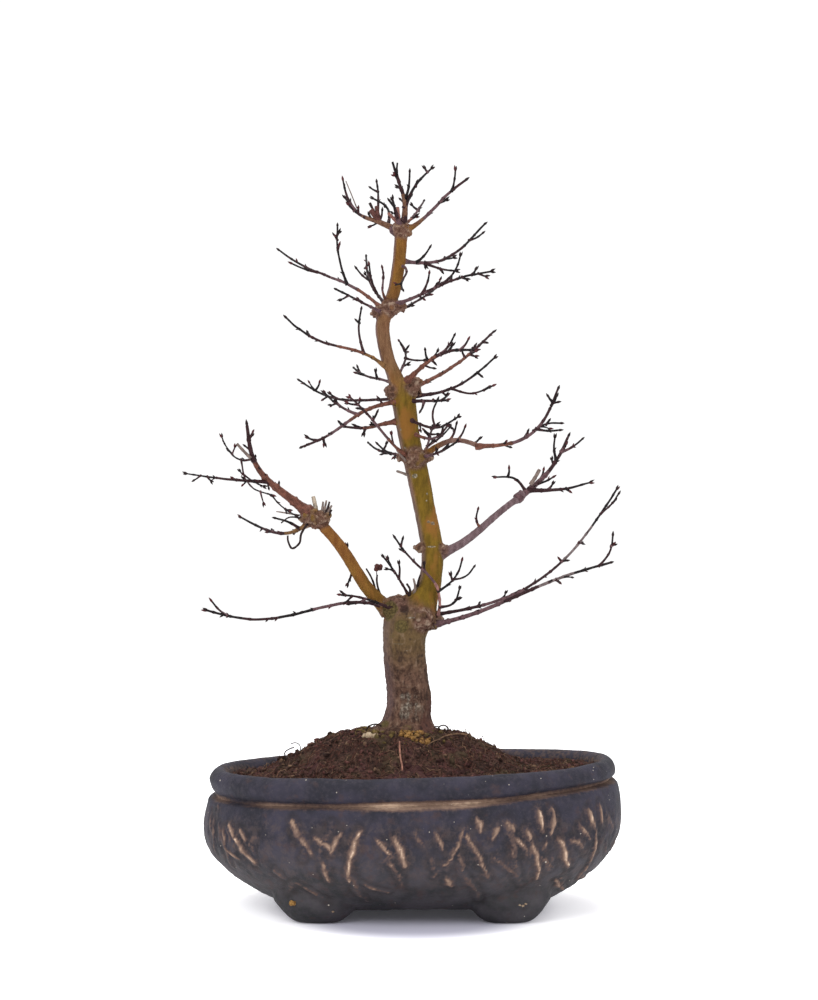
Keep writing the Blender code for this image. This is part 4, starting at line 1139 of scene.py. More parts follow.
def remeshed(batch, voxel, times):
    """Points, normals and faces of one closed skin round the batch's shapes, with their joins rounded."""
    mesh = bpy.data.meshes.new("rough")
    mesh.from_pydata((np.asarray(batch.points, float) * MM).tolist(), [], batch.faces)
    helper = bpy.data.objects.new("rough", mesh)
    bpy.context.scene.collection.objects.link(helper)
    remesh = helper.modifiers.new("voxels", "REMESH")
    remesh.mode = "VOXEL"
    remesh.voxel_size = voxel * MM
    smooth = helper.modifiers.new("smooth", "SMOOTH")
    smooth.factor = 0.5
    smooth.iterations = times
    made = bpy.data.meshes.new_from_object(helper.evaluated_get(bpy.context.evaluated_depsgraph_get()))
    bpy.data.objects.remove(helper)
    bpy.data.meshes.remove(mesh)
    points = np.zeros(len(made.vertices) * 3)
    made.vertices.foreach_get("co", points)
    normals = np.zeros(len(made.vertices) * 3)
    made.vertices.foreach_get("normal", normals)
    faces = [tuple(p.vertices) for p in made.polygons]
    bpy.data.meshes.remove(made)
    return points.reshape(-1, 3) / MM, normals.reshape(-1, 3), faces


def searched(places):
    """A tree that finds the nearest of the places."""
    tree = kdtree.KDTree(len(places))
    for i, spot in enumerate(places):
        tree.insert(spot, i)
    tree.balance()
    return tree


def spline(stations, step):
    """Stations of any width joined by a Catmull-Rom curve, sampled about every step of the first value."""
    rows = [np.array(s, float) for s in stations]
    rows = [2 * rows[0] - rows[1], *rows, 2 * rows[-1] - rows[-2]]
    out = []
    for a, b, c, d in zip(rows, rows[1:], rows[2:], rows[3:]):
        count = max(1, round(abs(c[0] - b[0]) / step))
        for i in range(count):
            t = i / count
            out.append(0.5 * (
                2 * b + (c - a) * t + (2 * a - 5 * b + 4 * c - d) * t**2 + (3 * b - a - 3 * c + d) * t**3
            ))
    return [*out, rows[-2]]


def smooth_path(places, count):
    """A smooth path through the places, with a count of steps from each to the next."""
    rows = spline([(count * i, *spot) for i, spot in enumerate(places)], 1)
    return [Vector(row[1:4]) for row in rows]


def lengths(line):
    """The length of each step of a line."""
    return [(b - a).length for a, b in zip(line, line[1:])]


def trunk_axis(height):
    """The middle of the trunk at a height."""
    rows = np.array(TRUNK, float)
    x, y = (np.interp(height, rows[:, 0], rows[:, k]) for k in (1, 2))
    return Vector((x, y, height))


def corner(radius, sides):
    """How far out the corners of a tube lie, for it to look as thick as a round one."""
    return radius * math.pi / (sides * math.sin(math.pi / sides))


def bent(root, tip, bow, sway, lean, steps):
    """A limb's middle line: straight from root to tip, then bowed and swayed off that line."""
    chord = tip - root
    left = Vector((-chord.z, 0, chord.x)).normalized()
    line = []
    for i in range(steps + 1):
        t = i / steps
        off = bow * math.sin(math.pi * t) + sway * math.sin(2 * math.pi * t)
        line.append(root + chord * t + left * off + Vector((0, lean * math.sin(math.pi * t), 0)))
    return line


def along(line, share):
    """The point at a share of the line's steps, and the way it runs there."""
    place = min(max(share, 0), 1) * (len(line) - 1)
    i = min(int(place), len(line) - 2)
    return line[i].lerp(line[i + 1], place - i), (line[i + 1] - line[i]).normalized()


def taper(thick, count):
    """Radii from the base to the tip, thickest just at the base."""
    base, tip = thick
    return [(base + (tip - base) * (i / (count - 1)) ** TAPER) / 2 for i in range(count)]


def samples(line, radii):
    """Points along a line, a few to each step, with the radius at each."""
    out = []
    for i in range(len(line) - 1):
        for share in (k / SAMPLES for k in range(SAMPLES)):
            out.append((line[i].lerp(line[i + 1], share), radii[i] + (radii[i + 1] - radii[i]) * share))
    return [*out, (line[-1], radii[-1])]


def is_inside(tree, point):
    """Whether a ray from the point crosses the closed surface an odd number of times."""
    way = Vector((0.31, 0.47, 0.83)).normalized()
    crossings = 0
    here = point
    while True:
        hit = tree.ray_cast(here, way)[0]
        if hit is None:
            return crossings % 2 == 1
        crossings += 1
        here = hit + way * 1e-4


class Space:
    """What is already there, so that limbs keep clear of each other."""

    def __init__(self):
        self.taken = []  # owner, point and radius
        self.surfaces = []

    def add(self, owner, line, radii):
        self.taken += [(owner, point, radius) for point, radius in samples(line, radii)]

    def add_surface(self, made):
        """A finished solid that stems start from."""
        mesh = made.data
        points = [v.co / MM for v in mesh.vertices]
        self.surfaces.append(BVHTree.FromPolygons(points, [p.vertices[:] for p in mesh.polygons]))

    def outside_by(self, point):
        """How far outside the nearest surface a point lies, below zero inside one."""
        least = math.inf
        for tree in self.surfaces:
            far = tree.find_nearest(point)[3]
            least = min(least, -far if is_inside(tree, point) else far)
        return least

    def clearance(self, owner, line, radii, skip):
        """The least gap from a line, but for a share at its start, to the surfaces and others' limbs."""
        mine = samples(line, radii)
        mine = mine[int(len(mine) * skip) :]
        gaps = [self.outside_by(point) - radius for point, radius in mine]
        others = [(point, radius) for name, point, radius in self.taken if name != owner]
        if others:
            theirs = np.array([point for point, _ in others])
            around = np.array([radius for _, radius in others])
            for point, radius in mine:
                gaps.append((np.linalg.norm(theirs - np.array(point), axis=1) - around).min() - radius)
        return min(gaps)

    def start(self, line, radius):
        """The line without the part inside a surface: its blunt end lies a gap outside."""
        for i, (low, high) in enumerate(zip(line, line[1:])):
            step = (high - low).normalized() * START_STEP
            for k in range(int((high - low).length / START_STEP)):
                here = low + step * k
                after = [p for p in line[i + 1 :] if (p - here).length > radius]
                way = (after[0] - here).normalized()
                across = way.orthogonal().normalized()
                beside = way.cross(across)
                turns = [2 * math.pi * k / RIM_POINTS for k in range(RIM_POINTS)]
                rim = [(across * math.cos(a) + beside * math.sin(a)) * radius for a in turns]
                places = [here, *(here + way * radius * ahead + off for ahead in (0, 1) for off in rim)]
                if all(self.outside_by(place) >= GAP for place in places):
                    return [here, *after]
        raise ValueError("a limb never leaves its carrier")


def make_shoots(name, parent, radii, shoots, space, rng):
    """The listed shoots of a line that find room, each with its own shoots."""
    grown = []
    for shoot in shoots:
        root, _ = along(parent, shoot.share)
        length = math.hypot(shoot.right, shoot.up)
        steps = min(MOST_STEPS, 2 + int(length / LIMB_STEP))
        at_root = 2 * radii[int(min(shoot.share, 1) * (len(radii) - 1))]
        base = max(TWIG_THICK, min(at_root * SHOOT_SHARE, TWIG_THICK + length * SHOOT_THICKENING))
        thick = taper((base, TWIG_THICK), steps + 1)
        bow = shoot.bow or -SHOOT_BOW * length * math.copysign(1, shoot.right)
        for lean in [rng.uniform(-LEAN_MOST, LEAN_MOST) * length for _ in range(LEAN_TRIES)]:
            tip = root + Vector((shoot.right, lean, shoot.up))
            line = bent(root, tip, bow, 0, lean * LEAN_BEND, steps)
            if abs(tip.y) < DEPTH_REACH and space.clearance(name, line, thick, SHOOT_SKIP) > CLEARANCE:
                grown.append((line, thick))
                space.add(name, line, thick)
                grown += make_shoots(name, line, thick, shoot.shoots, space, rng)
                break
    return grown


def make_twigs(name, stem, lines, space, rng):
    """Pairs of short twigs at the nodes of each line, one pair across the next."""
    room = SPREAD * (stem[-1] - stem[0]).length + SPREAD_LEAST
    thick = taper((TWIG_THICK, TWIG_THICK * TWIG_TIP), 3)
    grown = []
    for line, _ in lines:
        nodes = int(sum(lengths(line)) / NODE_SPACING)
        turned = rng.random() * math.pi
        for node in range(nodes):
            root, way = along(line, (node + 1) / (nodes + LAST_NODE))
            across = Vector((0, 1, 0)).cross(way).normalized()
            turned += math.pi / 2
            for angle in (turned, turned + math.pi):
                chance, size = rng.random(), rng.uniform(*TWIG_LENGTH)
                out = across * math.cos(angle) + way.cross(across) * math.sin(angle)
                tip = root + (way * math.cos(TWIG_ANGLE) + out * math.sin(TWIG_ANGLE)) * size
                leaves = abs(tip.y) > DEPTH_REACH or tip.z > CROWN_TOP
                if chance > TWIG_CHANCE or leaves or min((tip - p).length for p in stem) > room:
                    continue
                twig = [root, root.lerp(tip, 0.5) - Vector((0, 0, TWIG_SAG * size)), tip]
                if space.clearance(name, twig, thick, TWIG_SKIP) > CLEARANCE:
                    grown.append((twig, thick))
                    space.add(name, twig, thick)
    return grown


def limb_line(limb, tips):
    """The middle line of a limb from its root to its tip."""
    if limb.source in tips:
        root = tips[limb.source]
    else:
        root = trunk_axis(limb.source) + Vector((limb.aside, 0, 0))
    tip = Vector(limb.tip)
    steps = max(MOST_STEPS, round((tip - root).length / LIMB_STEP))
    return bent(root, tip, limb.bow, limb.sway, limb.lean, steps)


def grow():
    """Every limb's lines as the solids have them: its stem, its shoots and the twigs that the rule adds."""
    space = Space()
    space.add_surface(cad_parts["trunk"])
    tips = {}
    lines = {}
    for limb in (*BOUGHS, *MASSES):
        if limb is MASSES[0]:
            for bough in BOUGHS:
                space.add_surface(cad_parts[bough.name])
        sides = BOUGH_SIDES if limb in BOUGHS else STOUT_SIDES if limb.thick[0] > STOUT else TWIG_SIDES
        rng = random.Random(f"{limb.name} {SEED}")
        line = space.start(limb_line(limb, tips), corner(limb.thick[0] / 2, sides))
        radii = taper(limb.thick, len(line))
        space.add(limb.name, line, radii)
        shoots = make_shoots(limb.name, line, radii, limb.shoots, space, rng)
        twigs = []
        if limb in BOUGHS:
            tips[limb.name] = Vector(limb.tip)
        else:
            twigs = make_twigs(limb.name, line, [(line, radii), *shoots], space, rng)
        lines[limb.name] = (line, radii), shoots, twigs
    return lines


def finer(line, radii, sink, slim=1.0):
    """The line sunk into its carrier and sampled finely on a smooth curve, with the radius at each point."""
    way = (line[1] - line[0]).normalized()
    line = [line[0] - way * sink, *line]
    radii = [radii[0], *radii]
    runs = np.cumsum([0, *lengths(line)])
    stations = [(run, *point, radius) for run, point, radius in zip(runs, line, radii)]
    rows = spline(stations, FINE_STEP)
    return [Vector(row[1:4]) for row in rows], [row[4] * slim for row in rows]


def shortened(line, radii, share):
    """The first share of a line's length."""
    left = sum(lengths(line)) * share
    kept = [line[0]]
    for a, b, step in zip(line, line[1:], lengths(line)):
        if left <= step:
            kept.append(a.lerp(b, max(left / step, 0.1)))
            break
        kept.append(b)
        left -= step
    return kept, radii[: len(kept)]


def side_way(way, turn):
    """A direction across a twig, turned about it."""
    across = way.orthogonal().normalized()
    return across * math.cos(turn) + way.cross(across) * math.sin(turn)


def add_bud(buds, root, way, length, thick, rng):
    """A pointed bud."""
    path = [root + way * length * share for share, _ in BUD_PROFILE]
    radii = [thick / 2 * wide for _, wide in BUD_PROFILE]
    buds.add(tube(path, radii, BUD_SIDES), rng.choice(BUD_MIX))


def add_end_buds(buds, root, way, size, rng):
    """One bud in line with the twig, or two side by side."""
    if root.z + BUD_LENGTH[1] > END_BUD_TOP:
        return
    if rng.random() > PAIRED:
        length = rng.uniform(*BUD_LENGTH) * size
        add_bud(buds, root - way * BUD_SUNK, way, length, BUD_THICK * size * 1.1, rng)
        return
    out = side_way(way, rng.choice((0.2, 1.4)))
    for side in (-1, 1):
        lean = (way * math.cos(BUD_ANGLE) + out * side * math.sin(BUD_ANGLE)).normalized()
        length = rng.uniform(*BUD_LENGTH) * size
        add_bud(buds, root + out * side * PAIR_OUT - way * PAIR_SUNK, lean, length, BUD_THICK * size, rng)


def banded(colours, runs):
    """The number of each face's look on a twig, whose colours follow each other from root to tip."""
    bands = [colours[min(len(colours) - 1, int(run / runs[-1] * len(colours)))] for run in runs[:-1]]
    return [band for band in (*bands, bands[0], bands[-1]) for _ in range(ROUND_SIDES)]


def dress(twigs, buds, line, radii, sink, colours, rng, spurs=True):
    """One line made round and fine, with nodes, side buds, a few spurs and buds at its tip."""
    path, thick = finer(line, radii, sink, SLIM)
    runs = np.cumsum([0, *lengths(path)])
    shift = any_shift(rng)
    for i, run in enumerate(runs):
        stray = WANDER * max(0.0, 1 - thick[i] / WANDER_THICK) * min(1, run / WANDER_FROM)
        path[i] = path[i] + noise.noise_vector(path[i] / WANDER_SIZE + shift) * stray
    nodes = []
    at = sink + rng.uniform(*NODE_EVERY) * FIRST_NODE
    while at < runs[-1] - NODE_FREE:
        nodes.append(at)
        at += rng.uniform(*NODE_EVERY)
    swell = 1 + COLLAR * np.exp(-np.maximum(runs - sink, 0) / COLLAR_REACH)
    for at in nodes:
        swell += NODE_SWELL * np.exp(-(((runs - at) / NODE_REACH) ** 2))
    swell += UNEVEN * np.array([noise.noise(p / UNEVEN_SIZE + shift) for p in path])
    grown = [radius * float(more) for radius, more in zip(thick, swell)]
    twigs.add(tube(path, grown, ROUND_SIDES, rng.uniform(0, 6)), banded(colours, runs))
    places = [int(np.searchsorted(runs, at)) for at in nodes]
    dress_nodes(twigs, buds, path, grown, places, colours[-1:] if spurs else None, rng)
    least, more, most = END_BUD_SIZE
    way = (path[-1] - path[-3]).normalized()
    add_end_buds(buds, path[-1], way, min(most, least + more * thick[-1]), rng)


def dress_nodes(twigs, buds, path, grown, places, spur_colours, rng):
    """A pair of side buds at each node, one pair across the next, and a few spurs if these have colours."""
    turn = rng.uniform(0, math.pi)
    for i in places:
        way = (path[min(i + 1, len(path) - 1)] - path[i - 1]).normalized()
        turn += math.pi / 2 + rng.uniform(-0.3, 0.3)
        out = side_way(way, turn)
        for side in (-1, 1):
            lean = (way * NODE_LEAN[0] + out * side * NODE_LEAN[1]).normalized()
            root = path[i] + out * side * grown[i] * ROOT_OUT
            tip = root + lean * rng.uniform(*SPUR_LENGTH)
            inside = abs(tip.y) < DEPTH_REACH - SPUR_ROOM[0] and tip.z < CROWN_TOP - SPUR_ROOM[1]
            if spur_colours and inside and rng.random() < SPUR_CHANCE:
                spur = [root, root.lerp(tip, 0.5) + way * SPUR_BOW, tip]
                dress(twigs, buds, spur, taper(SPUR_THICK, len(spur)), SPUR_SINK, spur_colours, rng, False)
            elif rng.random() < SIDE_BUD_CHANCE:
                size = SIDE_BUD * rng.uniform(0.8, 1.2)
                add_bud(buds, root, lean, BUD_LENGTH[1] * size, BUD_THICK * size, rng)


def numbered(words):
    """Colour names as numbers of looks."""
    return [list(TWIG_COLOURS).index(word) for word in words.split()]


def dress_limb(limb, lines, twigs, buds):
    """A limb's stem, unless it is a bough, its shoots, and the rule's twigs as far as they grew."""
    rng = random.Random(f"fine {limb.name} {SEED}")
    stem, shoots, small = lines[limb.name]
    vigour = LIMB_VIGOUR.get(limb.name, VIGOUR)
    finer_shoots = SLENDER_SHOOTS.get(limb.name, 1.0)
    spurs = limb in MASSES and limb.name not in SLENDER_SHOOTS
    drawn = [point for point, _ in samples(*stem)]
    if limb in MASSES:
        words = STEM_COLOURS.get(limb.name) or rng.choice(PLAIN_COLOURS)
        line, radii = stem
        dress(twigs, buds, line, [r * GIRTH.get(limb.name, 1.0) for r in radii], SINK, numbered(words), rng)
    for number, (line, radii) in enumerate((*shoots, *small), 1):
        words = rng.choice(SHOOT_COLOURS) if limb in MASSES else BOUGH_SHOOT_COLOURS
        length = sum(lengths(line))
        share = 1.0
        if length < SHORT_SHOOT and limb in MASSES:
            share = min(1.0, vigour * rng.uniform(0.5, 1.5))
        borne = min((line[0] - point).length for point in drawn) < BORNE_WITHIN
        if not borne or limb.name in BURLS and number == STUB_SHOOT:
            continue
        if share < LEAST_SHARE:
            way = (line[1] - line[0]).normalized()
            add_bud(buds, line[0], way, BUD_LENGTH[0], BUD_THICK * 0.8, rng)
            continue
        if share < 1:
            line, radii = shortened(line, radii, share)
        drawn += [point for point, _ in samples(line, radii)]
        radii = [radius * finer_shoots for radius in radii]
        dress(twigs, buds, line, radii, SHOOT_SINK, numbered(words), rng, spurs)


def make_crown(lines):
    """The twigs as three pieces, one above the other, and all the buds as one."""
    looks = [twig_look(f"thin bark {name}", colour) for name, colour in TWIG_COLOURS.items()]
    buds = Batch()
    groups = {name: Batch() for name in CROWN_PIECES}
    nodes = {name: [] for name in groups}
    for limb in (*MASSES, *BOUGHS):
        group = next(name for name, top in CROWN_PIECES.items() if limb.tip[2] < top)
        dress_limb(limb, lines, groups[group], buds)
        if limb in MASSES:
            nodes[group].append(limb.name)
    for name, batch in groups.items():
        batch.place(name, looks, nodes[name][0], nodes[name])
    buds.place("buds", [twig_look(name, colour) for name, colour in BUD_COLOURS.items()], "twigs_top")


def make_stubs():
    """Dead stubs, spikes and loops, and a curled dead leaf on a spur."""
    names = list(STUB_COLOURS)
    batch = Batch()
    rng = random.Random(f"stubs {SEED}")
    for name, root, tip, places in STUBS:
        path = smooth_path(places, 5)
        radii = []
        for i in range(len(path)):
            thick = root + (tip - root) * i / (len(path) - 1)
            radii.append(thick / 2 * rng.uniform(0.9, 1.1))
        batch.add(tube(path, radii, STUB_SIDES), names.index(name))
    for _ in range(LEAF_LUMPS):
        spot = [c + rng.uniform(-1.4, 1.4) for c in DEAD_LEAF]
        size = rng.uniform(0.8, 1.3)
        batch.add(lump(spot, (size * 1.3, size * 0.6, size), 2, rng, 0.8), names.index("dead leaf"))
    batch.place("stubs", [twig_look(name, colour, 0.8) for name, colour in STUB_COLOURS.items()], "trunk")


def trunk_rings():
    """The trunk's rings, flared at the foot and carried on below the surface of the soil."""
    rings = []
    rows = spline(TRUNK, TRUNK_STEP)
    foot = np.array(rows[0]) - np.array([TRUNK_SINK, 0, 0, 0])
    for height, x, y, thick in [foot, *rows]:
        fade = max(0.0, 1 - max(0.0, height - GROUND) / FLARE_HEIGHT) ** 2
        ring = []
        for k in range(TRUNK_SIDES):
            a = 2 * math.pi * k / TRUNK_SIDES
            spread = sum(out * max(0.0, math.cos(a - math.radians(bearing))) ** 3 for bearing, out in FLARE)
            r = thick / 2 + spread * fade
            ring.append((x + r * math.cos(a), y + r * math.sin(a), height))
        rings.append(ring)
    return rings


def add_knob(batch, middle, half, lumps, rng):
    """A knob with smaller lumps sunk in its surface."""
    count, share, rough = lumps
    batch.add(lump(middle, half, 3, rng, rough))
    for _ in range(count):
        size = half[0] * rng.uniform(*share)
        batch.add(lump(on_ball(middle, half, rng), (size, size, size), 2, rng, 0.3))


def add_stem_lump(batch, limb, stem):
    """The bark's short run out along a mass's stem, so that the twig grows on from it."""
    if limb.name in LONG_STEMS:
        length, *ends = LONG_STEMS[limb.name]
        path, _ = finer(*stem, SINK)
        count = int(length / FINE_STEP)
        radii = [float(radius) for radius in np.linspace(*ends, count)]
    else:
        path, thick = finer(stem[0][:3], stem[1][:3], SINK)
        count = int(STEM_LUMP / FINE_STEP)
        swell = STEM_LUMP_SWELL[isinstance(limb.source, str)]
        radii = []
        for i, radius in enumerate(thick[:count]):
            radii.append(radius * (STEM_LUMP_THICK + swell * math.exp(-i * FINE_STEP / COLLAR_REACH)))
    batch.add(tube(path[:count], radii, STEM_SIDES))


def near_line(points, line, radii):
    """How many radii each point lies from a limb's middle line."""
    tree = searched(line)
    out = np.empty(len(points))
    for k, point in enumerate(points):
        _, i, far = tree.find(point)
        out[k] = far / radii[i]
    return out


def patch_masks(points):
    """Where moss and where pale scars show."""
    masks = {"moss": np.zeros(len(points)), "pale": np.zeros(len(points))}
    for kind, x, y, z, wide, high, much in PATCHES:
        far = np.linalg.norm((points - (x, y, z)) / (wide, wide, high), axis=1)
        np.maximum(masks[kind], much * (1 - smoothstep(far, PATCH_MIDDLE, 1.0)), out=masks[kind])
    return masks["moss"], masks["pale"]


def bark_skin(lines):
    """The knobs and the boughs' lines, and one skin round them, the trunk and the starts of the stems."""
    rng = random.Random(f"bark {SEED}")
    batch = Batch()
    batch.add(shell(trunk_rings()))
    knobs = []
    for x, y, z, wide, high in KNOBS:
        knobs.append(((x, y, z), (wide, wide, high)))
        add_knob(batch, *knobs[-1], KNOB_LUMPS, rng)
    paths = []
    for limb in BOUGHS:
        path, thick = finer(*lines[limb.name][0], SINK * 2)
        paths.append((path, thick))
        flare = []
        for i, radius in enumerate(thick):
            flare.append(radius * (1 + BOUGH_FLARE * math.exp(-i * FINE_STEP / BOUGH_FLARE_REACH)))
        batch.add(tube(path, flare, ROUND_BOUGH_SIDES))
        if limb.name in BURLS:
            knobs.append((limb.tip, BURLS[limb.name]))
            add_knob(batch, *knobs[-1], BURL_LUMPS, rng)
    for x, y, z, size in BOUGH_KNOTS:
        add_knob(batch, (x, y, z), (size, size, size), KNOT_LUMPS, rng)
    for limb in MASSES:
        add_stem_lump(batch, limb, lines[limb.name][0])
    return knobs, paths, remeshed(batch, VOXEL, SMOOTHINGS)


def bark_lift(points, smooth, knot):
    """How far plates, ridges, wrinkles, the knobs' crumbs, the hollow and the scar raise the bark."""
    lift = np.empty(len(points))
    for i, (x, y, z) in enumerate(points.tolist()):
        plate = noise.fractal((x * 0.3, y * 0.3, z * 0.14), 0.8, 2.1, 4)
        ridge = max(0.0, 1 - 9 * abs(noise.noise((x * 0.42, y * 0.42, z * 0.1))))
        wrinkle = noise.noise((x * 0.12, y * 0.12, z * 0.7))
        crumb = noise.fractal((x * 0.42, y * 0.42, z * 0.42), 0.8, 2.2, 4)
        old = 0.5 * plate - 0.22 * ridge + 0.22 * wrinkle
        young = 0.15 * plate + 0.1 * wrinkle
        lift[i] = old * (1 - smooth[i]) + young * smooth[i] + knot[i] * 0.95 * crumb
    far = np.linalg.norm((points - HOLLOW[0]) / HOLLOW[1], axis=1)
    lift -= HOLLOW_DEPTH * (1 - smoothstep(far, 0.3, 1.0))
    scar, ring, high = SCAR
    far = np.linalg.norm(points - scar, axis=1)
    lift += high * (np.exp(-(((far - ring) / 1.2) ** 2)) - 1.2 * np.exp(-((far / (0.55 * ring)) ** 2)))
    return lift


def make_bark(lines):
    """The trunk, its knobs, the boughs and their burl as one skin with the bark's relief and masks."""
    knobs, paths, (points, normals, faces) = bark_skin(lines)
    knot = np.zeros(len(points))
    for middle, half in knobs:
        far = np.linalg.norm((points - middle) / (np.array(half) + 1.0), axis=1)
        knot = np.maximum(knot, 1 - smoothstep(far, 0.85, 1.3))
    left, right, upper = (1 - smoothstep(near_line(points, *path), 1.25, 2.0) for path in paths)
    right = np.maximum(right, smoothstep(points[:, 0], *RIGHT_BOUGH_FROM))
    smooth = smoothstep(points[:, 2] + 0.5 * points[:, 0], *SMOOTH_FROM)
    smooth = np.maximum(smooth, np.maximum(left, right))
    lift = bark_lift(points, smooth, knot)
    points = points + normals * lift[:, None]
    made = place("bark", points, faces, [bark_look()], "trunk", ["trunk", *(limb.name for limb in BOUGHS)])

    x, _, z = points.T
    high = smoothstep(z, *WARM_FROM) * smooth
    # the right boughs' own mauve, and painted shading: the side that faces left tinted mauve
    mauve = np.maximum(right, 0.7 * smoothstep(-normals[:, 0], 0.45, 0.95) * (1 - left))
    mauve = np.maximum(mauve * (0.6 + 0.4 * smooth), 0.6 * upper * smoothstep(x, *UPPER_BOUGH_FROM))
    mauve = np.maximum(mauve, 0.3 * high * (1 - smoothstep(z, *MAUVE_TO)))
    left = left * (0.5 + 0.5 * smoothstep(z, *LEFT_BOUGH_FROM))
    ochre = np.maximum(np.maximum(left, 0.8 * upper), 0.7 * high)
    paint(made, "bark", (smooth, ochre, mauve))

    moss, pale = patch_masks(points)
    brown = np.maximum(knot, 0.85 * smoothstep(z, *CROWN_BARK))
    paint(made, "marks", (brown * (1 - 0.5 * moss), moss, pale))

    # how high the relief stands, for painted shade in its hollows and painted highlights on its crests
    relief_shading = np.clip(0.5 + lift / (1.0 + 1.2 * knot), 0, 1)
    olive_old = smoothstep(z, *OLIVE_OLD_FROM) * (1 - smoothstep(z, *OLIVE_OLD_TO))
    # painted shadow: dark red at the right of the trunk's foot
    red_shadow = smoothstep(x - 0.35 * (z - 110), 0, 9) * (1 - smoothstep(z, *RED_SHADOW_TO))
    paint(made, "tones", (relief_shading, olive_old, red_shadow))


def oval(half, height, sides, middle=(0.0, 0.0)):
    """A level ring of the pot's plan, or of a foot's."""
    turn = 2 * np.pi * np.arange(sides) / sides
    c, s = np.cos(turn), np.sin(turn)
    x = half[0] * np.sign(c) * np.abs(c) ** (2 / OVAL)
    y = half[1] * np.sign(s) * np.abs(s) ** (2 / OVAL)
    return np.stack([x + middle[0], y + middle[1], np.full(sides, float(height))], axis=1)


def wall_lift(x, height):
    """How much higher than level the hand-made wall stands at a place across."""
    across = x / (POT_LENGTH / 2)
    tilt = RIM_TILT * across * smoothstep(height, 0, BELLY_HEIGHT)
    return tilt + RIM_SADDLE * across**2 * smoothstep(height, SHOULDER_HEIGHT, RIM_MIDDLE)


def fuller(height):
    """How much further out the long sides stand low down."""
    return LOW_FULLNESS * (1 - smoothstep(height, 0, BELLY_HEIGHT))


def wall_ring(inset, height, sides):
    """A ring of the pot's wall, or of what lies against it."""
    ring = oval((POT_LENGTH / 2 - inset, POT_DEPTH / 2 - inset + fuller(height)), height, sides)
    ring[:, 2] += wall_lift(ring[:, 0], height)
    return ring


def groove_lift(x):
    """How much higher than its plane the groove runs at a place across."""
    across = x / (POT_LENGTH / 2)
    ends = GROOVE_ENDS[0] * smoothstep(-across, 0.7, 1.0) + GROOVE_ENDS[1] * smoothstep(across, 0.15, 0.95)
    return GROOVE_BOW + ends


def raised(points):
    """The shoulder and the groove drawn up to where the groove runs."""
    share = smoothstep(points[:, 2], BELLY_HEIGHT, SHOULDER_HEIGHT)
    share = share * (1 - smoothstep(points[:, 2], SHOULDER_HEIGHT + 4, RIM_MIDDLE + 5))
    lift = share * groove_lift(points[:, 0])
    return points + np.stack([0 * lift, 0 * lift, lift], axis=1)


def wall_inset(height):
    """How far the bowl's outer face lies inside its widest oval."""
    if height < BELLY_HEIGHT:
        rise = (height - BASE_HEIGHT) / (BELLY_HEIGHT - BASE_HEIGHT)
        return BASE_INSET * (1 - rise) ** BELLY_FULLNESS
    rise = (height - BELLY_HEIGHT) / (SHOULDER_HEIGHT - BELLY_HEIGHT)
    return SHOULDER_INSET * rise**2


def inner_inset(height):
    """How far the hollow's face lies inside the widest oval."""
    return max(wall_inset(min(height, SHOULDER_HEIGHT)) + POT_WALL, RIM_INSET + RIM_HALF_WIDTH)


def wall_point(x, z, side):
    """The point of the outer wall at a place across and a height, on the front (-1) or the back (1)."""
    inset = wall_inset(z - wall_lift(x, z))
    share = min(abs(x) / (POT_LENGTH / 2 - inset), 1.0)
    y = (POT_DEPTH / 2 - inset + fuller(z)) * (1 - share**OVAL) ** (1 / OVAL)
    return Vector((x, side * y, z))


def stroke_samples(stroke, side):
    """Points along a stroke on the wall, each with its half width, its brightness and the way across it."""
    out = []
    length = math.hypot(stroke.right, stroke.up)
    left = (-stroke.up / length, stroke.right / length)
    across = Vector((left[0], 0, left[1]))
    for i in range(STROKE_SAMPLES):
        t = i / (STROKE_SAMPLES - 1)
        off = stroke.bow * math.sin(math.pi * t)
        x = stroke.x + stroke.right * t + left[0] * off
        z = stroke.z + stroke.up * t + left[1] * off
        wide = stroke.width / 2 * (0.4 + 0.6 * math.sin(math.pi * min(1, t * 0.85 + 0.15)))
        out.append((wall_point(x, z, side), wide, stroke.bright, across))
    return out


def dealt_strokes(count, side, bright, rng):
    """Strokes that a seeded rule deals out round one side of the wall."""
    out = []
    for i in range(count):
        x = (POT_LENGTH / 2 - DEALT_INSET) * math.sin(((i + rng.random()) / count - 0.5) * math.pi)
        z = rng.uniform(*DEALT_FROM)
        down, across = LONG_RUN if rng.random() < LONG_SHARE else SHORT_RUN
        up = max(-rng.uniform(*down), STROKE_LOWEST - z)
        right = max(-STROKE_END - x, min(STROKE_END - x, rng.uniform(*across)))
        stroke = Stroke(x, z, right, up, rng.uniform(-2, 2), rng.uniform(1.6, 3.2), rng.uniform(*bright))
        out += stroke_samples(stroke, side)
    return out


def all_strokes():
    """The strokes of the front, those dealt out over the back, and faint ones under both."""
    rng = random.Random(f"strokes {SEED}")
    found = [sample for stroke in STROKES for sample in stroke_samples(stroke, -1)]
    found += dealt_strokes(BACK_STROKES, 1, (0.25, 1.0), rng)
    for side in (-1, 1):
        found += dealt_strokes(FAINT_STROKES, side, (-0.6, 0.0), rng)
    return found


